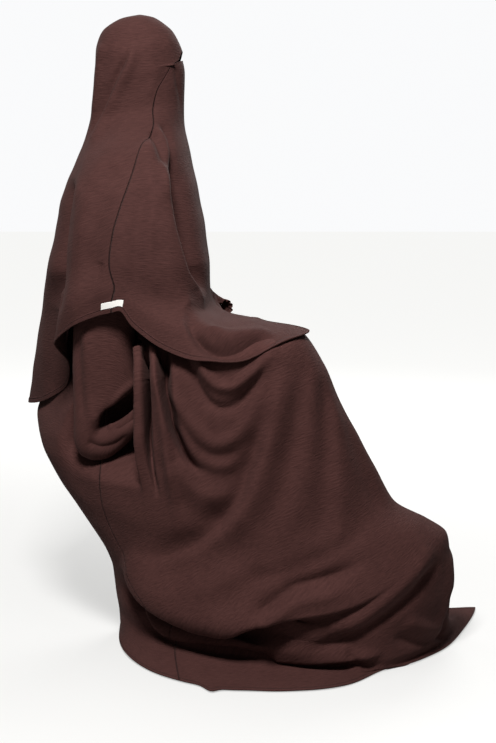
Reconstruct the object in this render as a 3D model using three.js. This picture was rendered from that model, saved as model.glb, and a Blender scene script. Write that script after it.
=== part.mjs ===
// A worn prayer abaya with its long khimar, kept hollow in a seated pose.
// Millimetres. +X is the front, +Y the left side, +Z up.
// Heights in the tables are above the floor; the whole set is then moved to its holding point.
import * as THREE from 'three';

// Driving sizes
const CLOTH = 1.5;               // wall of the dress and the khimar
const CUFF_CLOTH = 1.5;          // wall of the cuffs and the neck binding
const SEAM_INSET = 0.27;         // each panel stops this far short of its seam
const LABEL_SIZE = [41, 20];     // hem tab, along the hem and up
const LABEL_CLOTH = 0.8;
const LABEL_GAP = 0.9;
const NECK_BAND = 14;            // height of the neck binding
const HOLD = [27, 0, 1277];      // inside of the khimar's crown, where the set is held

const CLOTH_COLOUR = 0x3d2523;
const LABEL_COLOUR = 0xe8e6e0;

// Small helpers
const clamp = (x, a, b) => Math.min(b, Math.max(a, x));
const mix = (a, b, t) => a + (b - a) * t;
const smooth = (a, b, x) => {
  const t = clamp((x - a) / (b - a), 0, 1);
  return t * t * (3 - 2 * t);
};
const add = (a, b, k = 1) => [a[0] + b[0] * k, a[1] + b[1] * k, a[2] + b[2] * k];
const sub = (a, b) => add(a, b, -1);
const mixPoint = (a, b, t) => a.map((x, i) => mix(x, b[i], t));
const cross = (a, b) => [
  a[1] * b[2] - a[2] * b[1],
  a[2] * b[0] - a[0] * b[2],
  a[0] * b[1] - a[1] * b[0],
];
const unit = (a) => {
  const n = Math.hypot(...a) || 1;
  return a.map((x) => x / n);
};

// A soft curve through four values, used between the rows of every table
function curve(a, b, c, d, t) {
  const m = 0.42;
  const t2 = t * t;
  const t3 = t2 * t;
  return (2 * t3 - 3 * t2 + 1) * b + (t3 - 2 * t2 + t) * m * (c - a)
    + (3 * t2 - 2 * t3) * c + (t3 - t2) * m * (d - b);
}

// One turn round a garment. Column u runs 0 front, 1 near seam, 2 back, 3 far seam, 4 front.
function ring(row, u) {
  const mid = (row.f[0] + row.b[0]) / 2;
  const half = (row.f[0] - row.b[0]) / 2;
  const seam = Math.acos(clamp((row.seam - mid) / half, -0.95, 0.95));
  const near = u <= 2;
  const w = near ? u : 4 - u;
  const angle = w < 1 ? seam * w : seam + (Math.PI - seam) * (w - 1);
  const c = Math.cos(angle);
  const s = Math.sin(angle);
  const side = near ? row.n : row.r;
  const across = (1 + c) / 2;
  const bulge = Math.pow(Math.max(s, 0), c > 0 ? row.pf : row.pb);
  const sideY = near && row.nf ? mix(side[0], row.nf, smooth(-0.1, 0.6, c)) : side[0];
  const midY = (row.f[1] + row.b[1]) / 2;
  const midZ = (row.f[2] + row.b[2]) / 2;
  return [
    mid + half * c,
    mix(row.b[1], row.f[1], across) + bulge * (sideY - midY),
    mix(row.b[2], row.f[2], across) + s * s * (side[1] - midZ),
  ];
}

// A closed turn given by stations: each has its column u and a point
function stationRing(stations, u) {
  const n = stations.length;
  let i = n - 1;
  for (let k = 0; k < n; k += 1) {
    if (u >= stations[k].u) i = k;
  }
  const at = (k) => stations[((k % n) + n) % n];
  const from = at(i).u;
  const to = i === n - 1 ? stations[0].u + 4 : at(i + 1).u;
  const t = (u - from) / (to - from);
  return at(i).p.map((_, m) => curve(at(i - 1).p[m], at(i).p[m], at(i + 1).p[m], at(i + 2).p[m], t));
}

// Folds: soft ridges and troughs along paths given as seen from the near side (x and height).
// depth is positive outward and width is the half width.
function foldShift(folds, x, z) {
  let out = 0;
  for (const { path, width, depth, rise = 0.15, fall = 0.25 } of folds) {
    let best = Infinity;
    let along = 0;
    for (let k = 0; k < path.length - 1; k += 1) {
      const [x0, z0] = path[k];
      const dx = path[k + 1][0] - x0;
      const dz = path[k + 1][1] - z0;
      const t = clamp(((x - x0) * dx + (z - z0) * dz) / (dx * dx + dz * dz), 0, 1);
      const d = Math.hypot(x - x0 - dx * t, z - z0 - dz * t);
      if (d < best) {
        best = d;
        along = (k + t) / (path.length - 1);
      }
    }
    const q = best / width;
    if (q > 3) continue;
    out += depth * Math.exp(-q * q) * smooth(0, rise, along) * (1 - smooth(1 - fall, 1, along));
  }
  return out;
}

// Grid of points with its normals. wrap joins the last column to the first.
function makeGrid(points, wrap) {
  const rows = points.length;
  const cols = points[0].length;
  const column = (j) => (wrap ? ((j % cols) + cols) % cols : clamp(j, 0, cols - 1));
  const at = (i, j) => points[clamp(i, 0, rows - 1)][column(j)];
  const normals = points.map((line, i) => line.map((_, j) => {
    const across = sub(at(i, j + 1), at(i, j - 1));
    const down = sub(at(i + 1, j), at(i - 1, j));
    return unit(cross(across, down));
  }));
  return { points, normals, rows, cols, wrap };
}

// Thin wall on the kept cells of a grid: outer skin, inner skin and all the cut edges between them
function wall(grid, keep, thick, options = {}) {
  const { inset = 0, lift = 0, pole = false } = options;
  const { rows, cols, wrap } = grid;
  const cellCols = wrap ? cols : cols - 1;
  const kept = (i, j) => {
    if (i < 0 || i >= rows - 1) return false;
    if (!wrap && (j < 0 || j >= cellCols)) return false;
    return keep(i, ((j % cols) + cols) % cols);
  };
  const ids = new Map();
  const places = [];
  const id = (i, j, inner) => {
    const jj = ((j % cols) + cols) % cols;
    const onPole = pole && i === 0;
    const key = `${i}_${onPole ? 0 : jj}_${inner}`;
    if (ids.has(key)) return ids.get(key);
    let p = grid.points[i][jj];
    const n = onPole ? [0, 0, 1] : grid.normals[i][jj];
    if (inset && !onPole) {
      const [ul, ur, dl, dr] = [kept(i - 1, jj - 1), kept(i - 1, jj), kept(i, jj - 1), kept(i, jj)];
      const start = p;
      const pull = (a, b) => {
        const q = grid.points[i + a][(jj + b + cols) % cols];
        p = add(p, unit(sub(q, start)), inset);
      };
      if ((ul || dl) && !(ur || dr)) pull(0, -1);
      if ((ur || dr) && !(ul || dl)) pull(0, 1);
      if ((ul || ur) && !(dl || dr)) pull(-1, 0);
      if ((dl || dr) && !(ul || ur)) pull(1, 0);
    }
    p = add(p, n, inner ? lift - thick : lift);
    ids.set(key, places.length);
    places.push(p);
    return places.length - 1;
  };
  const faces = [];
  const triangle = (a, b, c) => {
    if (a !== b && b !== c && a !== c) faces.push([a, b, c]);
  };
  const edge = (i0, j0, i1, j1) => {
    const p = id(i0, j0, 0);
    const q = id(i1, j1, 0);
    const pi = id(i0, j0, 1);
    const qi = id(i1, j1, 1);
    // the same diagonal on both sides of a seam, so that two twisted edges never touch
    if (i0 < i1 || (i0 === i1 && j0 < j1)) {
      triangle(q, p, pi);
      triangle(q, pi, qi);
    } else {
      triangle(q, p, qi);
      triangle(p, pi, qi);
    }
  };
  for (let i = 0; i < rows - 1; i += 1) {
    for (let j = 0; j < cellCols; j += 1) {
      if (!kept(i, j)) continue;
      const outer = [id(i, j, 0), id(i, j + 1, 0), id(i + 1, j + 1, 0), id(i + 1, j, 0)];
      const inner = [id(i, j, 1), id(i, j + 1, 1), id(i + 1, j + 1, 1), id(i + 1, j, 1)];
      triangle(outer[0], outer[1], outer[2]);
      triangle(outer[0], outer[2], outer[3]);
      triangle(inner[0], inner[2], inner[1]);
      triangle(inner[0], inner[3], inner[2]);
      if (!kept(i - 1, j) && !(pole && i === 0)) edge(i, j, i, j + 1);
      if (!kept(i, j + 1)) edge(i, j + 1, i + 1, j + 1);
      if (!kept(i + 1, j)) edge(i + 1, j + 1, i + 1, j);
      if (!kept(i, j - 1)) edge(i + 1, j, i, j);
    }
  }
  return { places, faces };
}

const group = new THREE.Group();
group.name = 'prayer_abaya_set';

function addPiece(name, shape, colour) {
  const geometry = new THREE.BufferGeometry();
  const flat = shape.places.flatMap((p) => [p[0] - HOLD[0], p[1] - HOLD[1], p[2] - HOLD[2]]);
  geometry.setAttribute('position', new THREE.Float32BufferAttribute(flat, 3));
  geometry.setIndex(shape.faces.flat());
  geometry.computeVertexNormals();
  const material = new THREE.MeshStandardMaterial({ color: colour, roughness: 0.9 });
  material.name = `${name}_cloth`;
  const mesh = new THREE.Mesh(geometry, material);
  mesh.name = name;
  group.add(mesh);
}

// The dress, from the neck to the hem. f front point, b back point, n near side (y, height),
// r far side (y, height), seam the x of the side seams, pf and pb how round the sides are,
// steps the grid rows down to the next one. nf is the near y toward the front, where the
// swags above the floor fade out. Columns: f, b, n, r, seam, pf, pb, steps, nf.
const DRESS = [
  [[55, 0, 1030], [-45, 0, 1062], [-62, 1046], [62, 1046], 0, 1, 1, 1],
  [[70, 0, 1004], [-62, 0, 1042], [-104, 1020], [104, 1020], 0, 1, 1, 1],
  [[86, 0, 972], [-80, 0, 1006], [-150, 982], [150, 982], 0, 0.9, 0.9, 1],
  [[98, 0, 938], [-94, 0, 966], [-168, 940], [168, 940], 0, 0.8, 0.8, 2],
  [[112, 0, 874], [-106, 0, 895], [-166, 876], [166, 876], 0, 0.8, 0.8, 2],
  [[119, 0, 800], [-113, 0, 806], [-160, 802], [160, 802], -2, 0.8, 0.8, 2],
  [[124, -2, 722], [-118, 0, 706], [-160, 722], [160, 722], -6, 0.8, 0.8, 2],
  [[136, -12, 664], [-132, 0, 612], [-176, 662], [172, 660], -12, 0.8, 0.8, 2],
  [[196, -78, 644], [-150, 0, 540], [-230, 628], [150, 586], -18, 0.85, 1.3, 1],
  [[276, -170, 652], [-174, 0, 494], [-303, 613], [118, 545], -26, 0.9, 1.6, 2],
  [[358, -270, 649], [-198, -12, 460], [-351, 574.5], [84, 490], -32, 1, 1.6, 1],
  [[404, -281, 584], [-200, -45, 440], [-368, 528], [44, 435], -38, 1.1, 1.5, 1],
  [[435, -280, 513], [-192, -78, 413], [-378, 462], [4, 396], -42, 1.15, 1.2, 2],
  [[471, -275, 444], [-180, -92, 382], [-384, 402], [-34, 342], -44, 1.2, 1, 1],
  [[507, -270, 378], [-163, -104, 352], [-391, 344], [-66, 300], -44, 1.2, 1, 2],
  [[549, -262, 302], [-140, -117, 315], [-402, 280], [-84, 258], -40, 1.2, 1, 1],
  [[615, -253, 265], [-112, -127, 277], [-414, 232], [-92, 214], -28, 1.2, 1, 1],
  [[657, -243, 234], [-81, -139, 236], [-430, 186], [-97, 180], -8, 1.2, 1, 1],
  [[668, -232, 184], [-49, -150, 190], [-446, 142], [-101, 142], 26, 1.2, 1, 1],
  [[676, -224, 132], [-33, -158, 156], [-456, 103], [-104, 108], 64, 1.2, 1, 1, -456],
  [[674, -220, 92], [-27, -166, 122], [-432, 76], [-105, 80], 84, 1.2, 1, 1, -460],
  [[672, -214, 58], [-22, -170, 86], [-440, 50], [-105, 54], 96, 1.2, 1, 1, -466],
  [[676, -200, 30], [-17, -173, 52], [-428, 27], [-104, 30], 104, 1.2, 1, 1, -476],
  [[702, -126, 11], [-14, -174, 22], [-470, 11], [-100, 13], 112, 1.25, 0.95, 1, -494],
  [[753, -46, 5], [-15, -169, 6], [-534, 5], [-92, 6], 122, 1.6, 0.86, 0],
].map(([f, b, n, r, seam, pf, pb, steps, nf]) => ({ f, b, n, r, seam, pf, pb, steps, nf }));

// The hem on the floor isn't an even curve: a corner is pulled out and the front runs straighter.
// x is the middle of each place, reach its half width and out how far it moves away from the body.
const HEM_SHAPE = [
  { x: 183, reach: 15, out: 20 },
  { x: 205, reach: 34, out: 6 },
  { x: 520, reach: 52, out: -32 },
  { x: 662, reach: 40, out: 16 },
];

// Columns round the dress: closest where the pleats fall under the near arm
const DRESS_FRONT_NEAR = [0, 0.07, 0.14, 0.21, 0.28, 0.35, 0.42, 0.48, 0.535, 0.585, 0.63, 0.67, 0.70, 0.73,
  0.755, 0.78, 0.805, 0.83, 0.86, 0.9, 0.95];
const DRESS_BACK_NEAR = [1, 1.07, 1.16, 1.27, 1.39, 1.52, 1.66, 1.82];
const DRESS_BACK_FAR = [2, 2.18, 2.36, 2.53, 2.69, 2.84];
const DRESS_FRONT_FAR = [3, 3.08, 3.16, 3.24, 3.33, 3.42, 3.52, 3.62, 3.72, 3.82, 3.91];
const DRESS_COLUMNS = [...DRESS_FRONT_NEAR, ...DRESS_BACK_NEAR, ...DRESS_BACK_FAR, ...DRESS_FRONT_FAR];

// Folds of the skirt as seen from the near side
const SKIRT_FOLDS = [
  { name: 'first pleat', depth: 16, width: 13, rise: 0.1,
    path: [[52, 650], [46, 520], [42, 400], [36, 260]] },
  { name: 'first gap', depth: -24, width: 10, rise: 0.1,
    path: [[64, 650], [61, 520], [60, 380], [62, 250]] },
  { name: 'second pleat', depth: 17, width: 15, rise: 0.1,
    path: [[78, 650], [84, 520], [96, 400], [112, 230]] },
  { name: 'second gap', depth: -20, width: 15, rise: 0.1,
    path: [[98, 640], [106, 500], [122, 360], [140, 270]] },
  { name: 'upper swag', depth: 16, width: 22,
    path: [[140, 640], [166, 586], [200, 555], [244, 560], [300, 620]] },
  { name: 'upper trough', depth: -13, width: 20,
    path: [[128, 610], [152, 545], [196, 518], [246, 528], [310, 590]] },
  { name: 'middle swag', depth: 14, width: 26,
    path: [[112, 590], [140, 515], [190, 478], [244, 492], [322, 572]] },
  { name: 'lower swag', depth: 12, width: 28,
    path: [[116, 500], [158, 420], [218, 392], [276, 424], [340, 520]] },
  { name: 'knee trough', depth: -14, width: 34,
    path: [[322, 606], [288, 496], [256, 376], [214, 262]] },
  { name: 'knee ridge', depth: 13, width: 30, path: [[362, 634], [390, 540], [406, 430], [416, 300]] },
  { name: 'shin trough', depth: -10, width: 30,
    path: [[400, 590], [440, 470], [470, 350], [480, 250]] },
  { name: 'low trough', depth: -16, width: 26,
    path: [[-10, 246], [50, 220], [112, 204], [170, 226], [232, 282]] },
  { name: 'toe ridge', depth: 16, width: 22,
    path: [[606, 280], [510, 190], [432, 146], [352, 130], [286, 90]] },
  { name: 'toe trough', depth: -14, width: 18, path: [[640, 232], [560, 150], [452, 112], [360, 96]] },
];

// The hanging sleeve presses the skirt in to the plane y, between the back and the first pleat
const POCKET = { y: -196, back: [-150, -96], front: [38, 56], low: [345, 425], high: [640, 690] };
// The edge of the first pleat hangs over that pocket
const PLEAT_EDGE = { x: 48, slide: 52, lip: 20, reach: 26 };

function dressTurn(k, u) {
  const p = ring(DRESS[k], u);
  if (k === DRESS.length - 1 && u < 2) {
    for (const { x, reach, out } of HEM_SHAPE) p[1] -= out * Math.exp(-(((p[0] - x) / reach) ** 2));
  }
  return p;
}

function dressPoint(u, r) {
  const last = DRESS.length - 1;
  const i = clamp(Math.floor(r), 0, last - 1);
  const [a, b, c, d] = [i - 1, i, i + 1, i + 2].map((k) => dressTurn(clamp(k, 0, last), u));
  return b.map((_, n) => curve(a[n], b[n], c[n], d[n], r - i));
}

function foldedDress(u, r) {
  const p = dressPoint(u, r);
  const e = 0.02;
  const across = sub(dressPoint((u + e) % 4, r), dressPoint((u - e + 4) % 4, r));
  const below = dressPoint(u, Math.min(r + e, DRESS.length - 1));
  const down = sub(below, dressPoint(u, Math.max(r - e, 0)));
  const n = unit(cross(across, down));
  const near = u < 2;
  const facing = smooth(0.25, 0.7, near ? -n[1] : n[1]) * smooth(7, 8.4, r);
  if (facing <= 0) return p;
  const out = foldShift(near ? SKIRT_FOLDS : SKIRT_FOLDS.slice(4), p[0], p[2]);
  const q = add(p, n, out * facing * (near ? 1 : 0.7));
  if (!near) return q;
  const level = smooth(...POCKET.low, p[2]) * (1 - smooth(...POCKET.high, p[2]));
  const inside = smooth(...POCKET.back, p[0]) * (1 - smooth(...POCKET.front, p[0])) * level;
  const pressed = mix(q[1], Math.max(q[1], POCKET.y), inside);
  const s = (p[0] - PLEAT_EDGE.x) / PLEAT_EDGE.reach;
  const under = Math.exp(-((s + 0.8) ** 2)) * PLEAT_EDGE.slide;
  const lip = Math.exp(-((s - 0.35) ** 2) * 2.2) * PLEAT_EDGE.lip;
  return [q[0] + (under - lip) * level, pressed, q[2]];
}

// Armholes: a block of grid cells rounded into an oval. u and r are its middle and its half sizes
// in columns and rows of the table.
const ARMHOLES = {
  near: { u: 1.01, halfU: 0.38, r: 4, halfR: 1, from: 10, to: 25 },
  far: { u: 3.055, halfU: 0.365, r: 4, halfR: 1, from: 33, to: 40 },
};
const ARMHOLE_ROWS = [3, 7];

// Moves grid places near an armhole so that its square edge becomes an oval
function roundHole(u, r, hole) {
  const a = (u - hole.u) / hole.halfU;
  const b = (r - hole.r) / hole.halfR;
  const square = Math.max(Math.abs(a), Math.abs(b));
  if (square > 2 || square < 0.01) return [u, r];
  const k = mix(1, square / Math.hypot(a, b), 1 - smooth(1, 2, square));
  return [hole.u + a * k * hole.halfU, hole.r + b * k * hole.halfR];
}

function gridStops(table) {
  const stops = [];
  table.forEach((row, k) => {
    for (let s = 0; s < row.steps; s += 1) stops.push(k + s / row.steps);
  });
  stops.push(table.length - 1);
  return stops;
}

function dressGrid() {
  const points = gridStops(DRESS).map((r0) => DRESS_COLUMNS.map((u0) => {
    let [u, r] = [u0, r0];
    for (const hole of Object.values(ARMHOLES)) [u, r] = roundHole(u, r, hole);
    return foldedDress(u, Math.max(0, r));
  }));
  return makeGrid(points, true);
}

const dress = dressGrid();
const nearSeam = DRESS_COLUMNS.indexOf(1);
const farSeam = DRESS_COLUMNS.indexOf(3);
const inFront = (j) => j < nearSeam || j >= farSeam;
const inHole = (i, j) => i >= ARMHOLE_ROWS[0] && i < ARMHOLE_ROWS[1]
  && Object.values(ARMHOLES).some((hole) => j >= hole.from && j < hole.to);
const panel = { inset: SEAM_INSET };

addPiece('abaya_front', wall(dress, (i, j) => inFront(j) && !inHole(i, j), CLOTH, panel), CLOTH_COLOUR);
addPiece('abaya_back', wall(dress, (i, j) => !inFront(j) && !inHole(i, j), CLOTH, panel), CLOTH_COLOUR);

// Neck binding, standing on the neck edge
const neckEdge = dress.points[0];
const bandRows = [NECK_BAND, NECK_BAND / 2, 0.4].map((up) => neckEdge.map((p) => [p[0], p[1], p[2] + up]));
addPiece('neck_binding', wall(makeGrid(bandRows, true), () => true, CUFF_CLOTH), CLOTH_COLOUR);

// Sleeves: c middle of a section, a half size toward the front or the inside of the bend,
// o half size toward the outside of the arm
const NEAR_SLEEVE = [
  { c: [2, -190, 880], a: [64, 0, 0], o: [0, -22, 58] },
  { c: [-4, -207, 846], a: [68, 0, -4], o: [0, -36, 34] },
  { c: [-14, -220, 792], a: [72, 0, -4], o: [0, -44, 8] },
  { c: [-24, -229, 722], a: [70, 0, 0], o: [0, -43, 0] },
  { c: [-35, -238, 642], a: [61, 0, 0], o: [0, -40, 0] },
  { c: [-36, -243, 574], a: [62, 0, 1], o: [0, -37, 0] },
  { c: [-36, -246, 524], a: [61, 0, 8], o: [0, -34, 0] },
  { c: [-50, -249, 490], a: [47, 0, 23], o: [0, -32, 0] },
  { c: [-65, -251, 459], a: [32, 0, 32], o: [0, -30, 0] },
  { c: [-66, -252, 432], a: [20, 0, 33], o: [0, -29, 0] },
  { c: [-52, -253, 419], a: [8, 0, 33], o: [0, -28, 0] },
  { c: [-27, -252, 424], a: [1, 0, 33], o: [0, -27, 0] },
  { c: [3, -250, 443], a: [-2, 0, 27], o: [0, -26, 0] },
  { c: [31, -247, 472], a: [-4, 0, 21], o: [0, -24, 0] },
  { c: [40, -244, 506], a: [-9, 0, 13], o: [0, -21, 0] },
  { c: [42, -242, 548], a: [-9, 0, 4], o: [0, -19, 0] },
  { c: [42, -241, 592], a: [-9, 0, 0], o: [0, -17, 0] },
];
const FAR_SLEEVE = [
  { c: [2, 190, 880], a: [64, 0, 0], o: [0, 22, 58] },
  { c: [-4, 207, 846], a: [68, 0, -4], o: [0, 36, 34] },
  { c: [-12, 220, 792], a: [72, 0, -4], o: [0, 43, 8] },
  { c: [-18, 227, 730], a: [73, 0, 0], o: [0, 40, 0] },
  { c: [-21, 229, 668], a: [71, 0, 8], o: [0, 38, 0] },
  { c: [-20, 227, 628], a: [66, 0, 26], o: [0, 35, 0] },
  { c: [-8, 222, 604], a: [50, 0, 44], o: [0, 32, 0] },
  { c: [12, 214, 596], a: [32, 0, 54], o: [4, 30, 0] },
  { c: [42, 202, 606], a: [16, 0, 52], o: [8, 27, 0] },
  { c: [70, 185, 650], a: [8, 0, 38], o: [12, 24, 0] },
  { c: [104, 156, 688], a: [4, 0, 24], o: [14, 18, 0] },
  { c: [144, 112, 686], a: [2, 0, 20], o: [13, 14, 0] },
  { c: [182, 66, 668], a: [1, 0, 15], o: [13, 10, 0] },
];
const SLEEVE_COLUMNS = 18;
const SLEEVE_CUT = 1.1;          // gap between the armhole edge and the sleeve
const CUFF_SIZE = { band: 12, frill: 18, waves: 9, flare: 0.16, wave: 0.12 };

function sleeveGrid(table, hole, far) {
  const rows = [];
  const turn = 2 * Math.PI * (far ? -1 : 1);
  const angles = Array.from({ length: SLEEVE_COLUMNS }, (_, k) => (k / SLEEVE_COLUMNS) * turn);
  rows.push(angles.map((t) => {
    const toFront = far ? 1 : -1;
    const u = hole.u + toFront * hole.halfU * Math.cos(t);
    const r = hole.r - hole.halfR * Math.sin(t);
    const p = foldedDress(u, r);
    return [p[0], p[1] + (far ? SLEEVE_CUT : -SLEEVE_CUT), p[2]];
  }));
  table.forEach((s) => {
    rows.push(angles.map((t) => add(add(s.c, s.a, Math.cos(t)), s.o, Math.sin(t))));
  });
  return makeGrid(rows, true);
}

// A gathered cuff carries on from the last section of its sleeve
function cuffGrid(sleeve, dir) {
  const end = sleeve.points[sleeve.rows - 1];
  const middle = end.reduce((m, p) => add(m, p, 1 / end.length), [0, 0, 0]);
  const radius = end.reduce((r, p) => r + Math.hypot(...sub(p, middle)) / end.length, 0);
  const rows = [];
  const n = CUFF_SIZE.waves * 4;
  const edge = (k) => {
    const t = (k / n) * end.length;
    const i = Math.floor(t) % end.length;
    return mixPoint(end[i], end[(i + 1) % end.length], t - Math.floor(t));
  };
  const total = CUFF_SIZE.band + CUFF_SIZE.frill;
  const { band, frill } = CUFF_SIZE;
  for (const s of [0.6, band / 2, band, band + frill * 0.4, total]) {
    const grown = smooth(band, total, s);
    const line = [];
    for (let k = 0; k < n; k += 1) {
      const p = edge(k);
      const wave = Math.sin((k / n) * CUFF_SIZE.waves * 2 * Math.PI) * CUFF_SIZE.wave;
      const away = unit(sub(p, middle));
      line.push(add(add(p, away, grown * radius * (CUFF_SIZE.flare + wave)), dir, s));
    }
    rows.push(line);
  }
  return makeGrid(rows, true);
}

const sleeves = [
  { name: 'right', grid: sleeveGrid(NEAR_SLEEVE, ARMHOLES.near, false), dir: unit([2, 0, 44]) },
  { name: 'left', grid: sleeveGrid(FAR_SLEEVE, ARMHOLES.far, true), dir: unit([30, -24, -15]) },
];
for (const { name, grid, dir } of sleeves) {
  addPiece(`sleeve_${name}`, wall(grid, () => true, CLOTH), CLOTH_COLOUR);
  addPiece(`cuff_${name}`, wall(cuffGrid(grid, dir), () => true, CUFF_CLOTH), CLOTH_COLOUR);
}

// The khimar, from the crown to the hem; same columns as the dress table, both sides alike
const KHIMAR = [
  [[28, 0, 1281], [26, 0, 1281], [-1, 1281], 27, 1, 1, 1],
  [[59, 0, 1274], [-14, 0, 1272], [-42, 1272], 36, 1, 1, 1],
  [[91, 0, 1251], [-48, 0, 1250], [-68, 1250], 58, 0.9, 1, 1],
  [[107, 0, 1226], [-64, 0, 1216], [-82, 1214], 82, 0.85, 1, 1],
  [[116, 0, 1205], [-67, 0, 1180], [-86, 1186], 99, 0.85, 1, 1],
  [[121, 0, 1187], [-70, 0, 1150], [-88, 1154], 98, 0.85, 1, 1],
  [[119, 0, 1150], [-74, 0, 1105], [-89, 1114], 68, 0.85, 1, 1],
  [[118, 0, 1100], [-80, 0, 1062], [-96, 1078], 58, 0.85, 1, 1],
  [[119, 0, 1046], [-95, 0, 1012], [-136, 1044], 60, 0.9, 0.9, 2],
  [[131, -6, 990], [-114, 0, 966], [-202, 998], 44, 0.9, 0.9, 2],
  [[146, -28, 920], [-139, 0, 900], [-256, 926], 15, 0.8, 0.8, 2],
  [[160, -46, 848], [-154, 0, 826], [-288, 850], -10, 0.8, 0.8, 2],
  [[170, -76, 775], [-172, 0, 748], [-300, 784], -18, 0.75, 0.75, 2],
].map(([f, b, n, seam, pf, pb, steps]) => ({ f, b, n, seam, pf, pb, steps }));

// The hanging part of the khimar by stations round the hem: bend is level with the lap,
// lap lies across the knees, hem is the edge
const KHIMAR_HANG = [
  { u: 0, bend: [184, -110, 682], lap: [276, -204, 665], hem: [374, -284, 653] },
  { u: 0.2, bend: [180, -168, 680], lap: [262, -282, 670], hem: [322, -366, 642] },
  { u: 0.4, bend: [166, -232, 688], lap: [222, -342, 664], hem: [238, -412, 618] },
  { u: 0.6, bend: [138, -288, 700], lap: [158, -366, 658], hem: [152, -400, 611] },
  { u: 0.78, bend: [96, -306, 714], lap: [92, -344, 676], hem: [82, -358, 631] },
  { u: 0.92, bend: [40, -308, 729], lap: [36, -317, 699], hem: [28, -321, 666] },
  { u: 0.96, bend: [12, -307, 738], lap: [10, -310, 716], hem: [6, -311, 694] },
  { u: 1, bend: [-8, -304, 740], lap: [-13, -304, 714], hem: [-14, -304, 691] },
  { u: 1.1, bend: [-38, -297, 737], lap: [-41, -297, 708], hem: [-42, -297, 684] },
  { u: 1.22, bend: [-84, -280, 728], lap: [-88, -286, 696], hem: [-90, -288, 664] },
  { u: 1.38, bend: [-120, -238, 706], lap: [-128, -242, 664], hem: [-134, -240, 621] },
  { u: 1.52, bend: [-122, -190, 690], lap: [-118, -186, 630], hem: [-113, -182, 572] },
  { u: 1.66, bend: [-140, -142, 676], lap: [-134, -144, 596], hem: [-124, -142, 517] },
  { u: 1.84, bend: [-176, -76, 658], lap: [-182, -80, 568], hem: [-180, -84, 476] },
  { u: 2, bend: [-194, 0, 638], lap: [-210, 0, 550], hem: [-224, 0, 458] },
  { u: 2.16, bend: [-180, 76, 658], lap: [-192, 78, 568], hem: [-198, 80, 474] },
  { u: 2.34, bend: [-148, 142, 676], lap: [-152, 146, 596], hem: [-154, 144, 518] },
  { u: 2.48, bend: [-128, 190, 690], lap: [-130, 186, 625], hem: [-130, 180, 560] },
  { u: 2.62, bend: [-122, 238, 706], lap: [-130, 242, 664], hem: [-134, 240, 621] },
  { u: 2.78, bend: [-86, 282, 728], lap: [-90, 286, 696], hem: [-92, 288, 664] },
  { u: 3, bend: [-8, 300, 742], lap: [-14, 298, 722], hem: [-18, 294, 704] },
  { u: 3.2, bend: [54, 262, 744], lap: [58, 254, 728], hem: [60, 246, 712] },
  { u: 3.4, bend: [104, 206, 758], lap: [108, 197, 744], hem: [112, 188, 730] },
  { u: 3.6, bend: [142, 124, 752], lap: [149, 111, 742], hem: [154, 99, 731] },
  { u: 3.74, bend: [161, 46, 734], lap: [167, 26, 716], hem: [172, 8, 694] },
  { u: 3.82, bend: [170, -4, 708], lap: [186, -48, 670], hem: [208, -74, 655] },
  { u: 3.9, bend: [177, -50, 690], lap: [224, -112, 661], hem: [288, -156, 655] },
];
const KHIMAR_ROWS = [...KHIMAR, { steps: 2 }, { steps: 2 }, { steps: 0 }];
const VEIL_NEAR = [0, 0.1, 0.2, 0.3, 0.4, 0.5, 0.6, 0.69, 0.78, 0.85, 0.92, 0.96];
const HOOD_NEAR = [1, 1.1, 1.22, 1.3, 1.38, 1.45, 1.52, 1.59, 1.66, 1.75, 1.84, 1.92];
const HOOD_FAR = [2, 2.16, 2.3, 2.48, 2.62, 2.78, 2.9];
const VEIL_FAR = [3, 3.12, 3.26, 3.4, 3.5, 3.6, 3.67, 3.74, 3.78, 3.82, 3.86, 3.9, 3.95];
const KHIMAR_COLUMNS = [...VEIL_NEAR, ...HOOD_NEAR, ...HOOD_FAR, ...VEIL_FAR];
const SLOT_ROW = 4;              // the eye slot lies between this table row and the next
const SLOT_HEIGHT = { front: 18, temple: 2 };
const SLOT_DIP = { drop: 19.5, reach: 0.3 };   // the hood's edge comes down to the temple seam

const KHIMAR_FOLDS = [
  { name: 'hood ridge', depth: 7, width: 15,
    path: [[32, 1232], [-15, 1136], [-49, 1075], [-77, 1015], [-107, 958]] },
  { name: 'hood trough', depth: -6, width: 13,
    path: [[30, 1180], [-4, 1110], [-30, 1050], [-50, 990]] },
  { name: 'cheek trough', depth: -5, width: 10,
    path: [[90, 1196], [84, 1150], [72, 1100], [60, 1060]] },
  { name: 'front fold', depth: 15, width: 17, fall: 0.1,
    path: [[51, 1010], [71, 975], [80, 930], [96, 878], [116, 830], [139, 782], [153, 750],
      [160, 700], [184, 668]] },
  { name: 'lap fold', depth: 9, width: 16,
    path: [[158, 720], [182, 668], [214, 650], [246, 652], [300, 672]] },
  { name: 'throat fold', depth: 9, width: 12, path: [[59, 1044], [80, 1024], [88, 974], [95, 884]] },
  { name: 'back ridge', depth: 12, width: 19,
    path: [[-56, 1020], [-96, 943], [-100, 804], [-107, 725], [-124, 650]] },
  { name: 'back trough', depth: -14, width: 17,
    path: [[-104, 960], [-124, 860], [-134, 760], [-126, 680]] },
  { name: 'arm trough', depth: -6, width: 24, path: [[-20, 960], [-44, 860], [-56, 760], [-60, 690]] },
];

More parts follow.
